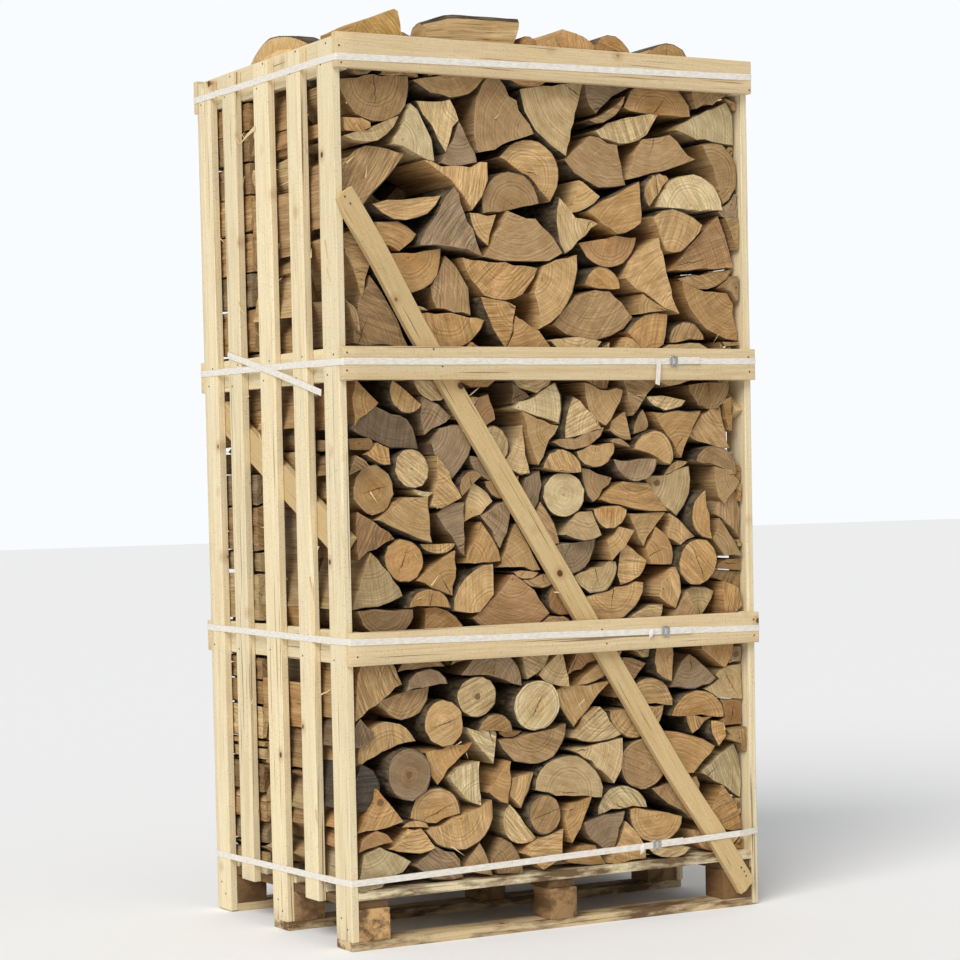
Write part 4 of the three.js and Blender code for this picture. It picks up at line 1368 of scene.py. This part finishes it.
def wall_fillers(rng, logs, bands, tight):
    """Thin splits that stand in the hollows left between a row and the side walls. tight says, for each
    wall, whether they fill it closely."""
    pitch = 4.0
    heights = np.arange(DECK + 2, 2198, pitch)
    fillers = []
    for sign, spans, close in ((-1, bands[0], tight[0]), (1, bands[1], tight[1])):
        reach = outer_reach(logs, sign, heights)
        held = np.zeros(len(heights), bool)
        for low, high in spans:
            held |= (heights > low - 5) & (heights < high + 5)
        wall = np.where(held, RAIL_WALL - 0.5, WALL)
        inner = np.maximum(np.convolve(np.pad(reach, 2, mode="edge"), np.ones(5) / 5, "valid"), reach) + 2.5
        inner = np.maximum(inner, wall - 120)
        hollow = np.append((wall - inner) > (11 if close else 58), False)
        slant = 0.0
        i = 0
        while i < len(heights):
            if not hollow[i]:
                slant = 0.0
                i += 1
                continue
            start = i
            longest = rng.uniform(60, 130)
            inset = rng.uniform(0, 2) if close else rng.uniform(5, 22)
            i += 1
            while hollow[i] and held[i] == held[start] and (i - start) * pitch < longest:
                i += 1
            if i - start < (3 if close else 7):
                continue
            rows = np.unique(np.append(np.arange(start, i - 1, 3), i - 1))
            edge = inner[rows] + rng.uniform(0, 2.5, len(rows))
            outer = wall[rows] - rng.uniform(0, 2.0, len(rows)) - inset
            # Where two meet end to end their ends slant alike
            next_slant = rng.uniform(-9, 9) if hollow[i] else 0.0
            rise = np.linspace(slant, next_slant, len(rows))
            slant = next_slant
            side = np.column_stack([edge, heights[rows]])
            face = np.column_stack([outer, heights[rows] + rise])[::-1]
            outline = np.vstack([side, face]) * (sign, 1)
            if sign > 0:
                outline = outline[::-1]
            middle = outline.mean(0)
            fillers.append((outline - middle, np.zeros(len(outline), bool), middle))
    return fillers


def to_wall(outline, place, bands):
    """How far an outer log moves sideways to lean on the slats, or on a rail that stands out of them."""
    low, high = outline[:, 1].min() + place[1] - 3, outline[:, 1].max() + place[1] + 3
    moves = []
    for sign, spans in ((-1, bands[0]), (1, bands[1])):
        held = any(high > a and low < b for a, b in spans)
        wall = RAIL_WALL if held else WALL + 1
        gap = wall - (sign * (outline[:, 0] + place[0])).max()
        moves.append(sign * gap if 0 < gap < 50 else 0)
    return moves[0] if moves[0] else moves[1]


def lay_row(row):
    """Stacks a row, and makes each of its logs."""
    front, back, seed = ROWS[row]
    rng = np.random.default_rng(seed)
    heap_x, heap_z = zip(*HEAPS[row])
    bands = [sorted(RAIL_BANDS + [BRACE_BANDS[side]]) for side in (row, OPPOSITE[row])]
    rounds, pit = (26, 5) if row == "middle" else (18, 9)
    logs = stack_row(rng, lambda x: 2199.5 + np.interp(x, heap_x, heap_z, left=0), bands, rounds, pit)
    for i, (outline, barked, place) in enumerate(logs):
        aside = to_wall(outline, place, bands) * rng.uniform(0.5, 1)
        logs[i] = (outline, barked, place + [aside, 0])
    logs += wall_fillers(rng, logs, bands, (row == "back", True))

    stock = Stock(*LOG_LAYERS)
    for outline, barked, place in logs:
        spot = (outline.max(0) + outline.min(0)) / 2 + place
        half = np.linalg.norm(outline - outline.mean(0), axis=1).max()
        near = front + (rng.triangular(1, 6, 38) if row == "front" else rng.uniform(0.5, 5))
        far = back - (rng.triangular(1, 5, 30) if row == "back" else rng.uniform(0.5, 5))
        if row == "front" and near_brace(*spot, half, 1):
            near = max(near, -BRACE_BACK + rng.uniform(0, 6))
        if row == "back" and near_brace(*spot, half, -1):
            far = min(far, BRACE_BACK - rng.uniform(0, 6))
        # Logs below the top tier are painted 7% darker, as painted shade
        lit = 1.0 if spot[1] > UPPER_TIER else 0.93
        # Beside the walls most splits show no bark, and they are painted darker still, as painted shade
        # where the slats shade them
        if np.abs(outline[:, 0] + place[0]).max() > RAIL_WALL - 26:
            if rng.random() < 0.75:
                barked = np.zeros(len(outline), bool)
            lit *= rng.uniform(0.62, 1.0)
        fat = 1.0 if row == "middle" else 0.972
        log(stock, rng, outline, barked, place, near, far, log_tint(rng) * lit, fat=fat)
    return stock


row_stocks = {row: lay_row(row) for row in ROWS}

# Logs that show above the front rail, each as the corners of its end, its pith, its colour, and how far
# it lies from front to back
crown_rng = np.random.default_rng(77)
CROWN = {
    "triangle": (
        [(-20, 0), (138, 0), (141, 14), (108, 36), (47, 51), (20, 30)],
        (47, 0), "#C9A06C", -392, -150,
    ),
    "near half": (
        [(146, 0), (258, 0), (252, 13), (236, 32), (215, 44), (188, 46), (165, 38), (150, 18)],
        (200, 0), "#BF9560", -388, -145,
    ),
    "far half": (
        [(290, -2), (428, -4), (425, 4), (412, 24), (385, 36), (360, 38), (338, 33), (312, 18)],
        (360, -10), "#CDA671", -390, -148,
    ),
    "low": (
        [(-74, -2), (-24, 0), (-30, 16), (-48, 27), (-62, 26)],
        (-50, 0), "#B78F5E", -394, -170,
    ),
    "wedge": (
        [(-540, 0.5), (-408, 0.5), (-412, 66), (-424, 69), (-482, 47), (-539, 25)],
        (-470, 0), "#CFA766", -390, -210,
    ),
}


def dense(corners, spacing=16):
    """Cuts the sides of an outline into short steps."""
    corners = np.array(corners, float)
    out = []
    for a, b in zip(corners, np.roll(corners, -1, 0)):
        pieces = max(1, int(np.linalg.norm(b - a) / spacing))
        out.extend(a + (b - a) * step / pieces for step in range(pieces))
    return np.array(out)


wedge_stock = Stock(*LOG_LAYERS)
for which, (corners, pith, code, near, far) in CROWN.items():
    outline = dense(corners) - pith
    barked = (outline[:, 1] > outline[:, 1].min() + 6) & (which not in ("triangle", "wedge"))
    target = wedge_stock if which == "wedge" else row_stocks["front"]
    place = np.array([pith[0], 2200 + pith[1]])
    log(target, crown_rng, outline, barked, place, near, far, srgb(code), stations=6)
wedge_stock.piece("heap_wedge_split", log_finishes, "firewood", ["heap_wedge"], sharp=34)


def along_x(points):
    """Turns a log made front to back so that it lies from left to right."""
    return np.column_stack([points[:, 1], -points[:, 0], points[:, 2]])


def lean_ends(points):
    """The half round lies along the rail, low at its left end, its right end sawn at a slant."""
    points = along_x(points)
    t = (points[:, 0] + 338) / 260
    up = points[:, 2] - 2201
    points[:, 2] = 2201 + up * (0.62 + 0.34 * np.clip(t / 0.3, 0, 1))
    points[:, 0] += (up - 40) * 0.5 * np.clip((t - 0.82) / 0.1, 0, 1)
    return points


# A half round, 92 mm across and 74 mm high, behind the top rail
half_stock = Stock(*LOG_LAYERS)
angles = np.linspace(0, math.pi, 17)
swollen = 1 + crown_rng.normal(0, 0.025, 17)
half_outline = np.column_stack([46 * np.cos(angles), 74 * np.sin(angles) * swollen])
half_outline = np.vstack([half_outline, np.column_stack([np.linspace(-46, 46, 6)[1:-1], np.zeros(4)])])
half_barked = np.arange(len(half_outline)) < 17
half_barked &= half_outline[:, 0] < 30
half_lie = {"settle": lean_ends, "stations": 12}
log(half_stock, crown_rng, half_outline, half_barked, (347, 2201), -338, -78, srgb("#D8B784"), **half_lie)
half_stock.piece("heap_half_round_split", log_finishes, "firewood", ["heap_half_round"], sharp=34)

# An arched flitch, 384 mm long and 50 mm high, whose sawn end shows over the left side
flitch_stock = Stock(*LOG_LAYERS)
chord = np.linspace(192, -192, 21)
arch = 50 - (chord / 193) ** 2 * 50
flat_side = np.column_stack([np.linspace(-170, 170, 12), np.zeros(12)])
flitch_outline = np.vstack([np.column_stack([chord, arch]), flat_side])
flitch_barked = np.arange(len(flitch_outline)) < 21
flitch_lie = {"settle": along_x, "stations": 5}
flitch_end = (flitch_outline, flitch_barked, (12, 2200.6))
log(flitch_stock, crown_rng, *flitch_end, -577, -484, srgb("#E0BE88"), **flitch_lie)
flitch_stock.piece("heap_flitch_split", log_finishes, "firewood", ["heap_flitch"], sharp=34)

for row, stock in row_stocks.items():
    stock.piece(f"logs_{row}_stacked", log_finishes, "firewood", [f"logs_{row}"], sharp=34)

size = {"cad": cad_box, "visual": [list(corner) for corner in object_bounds()]}
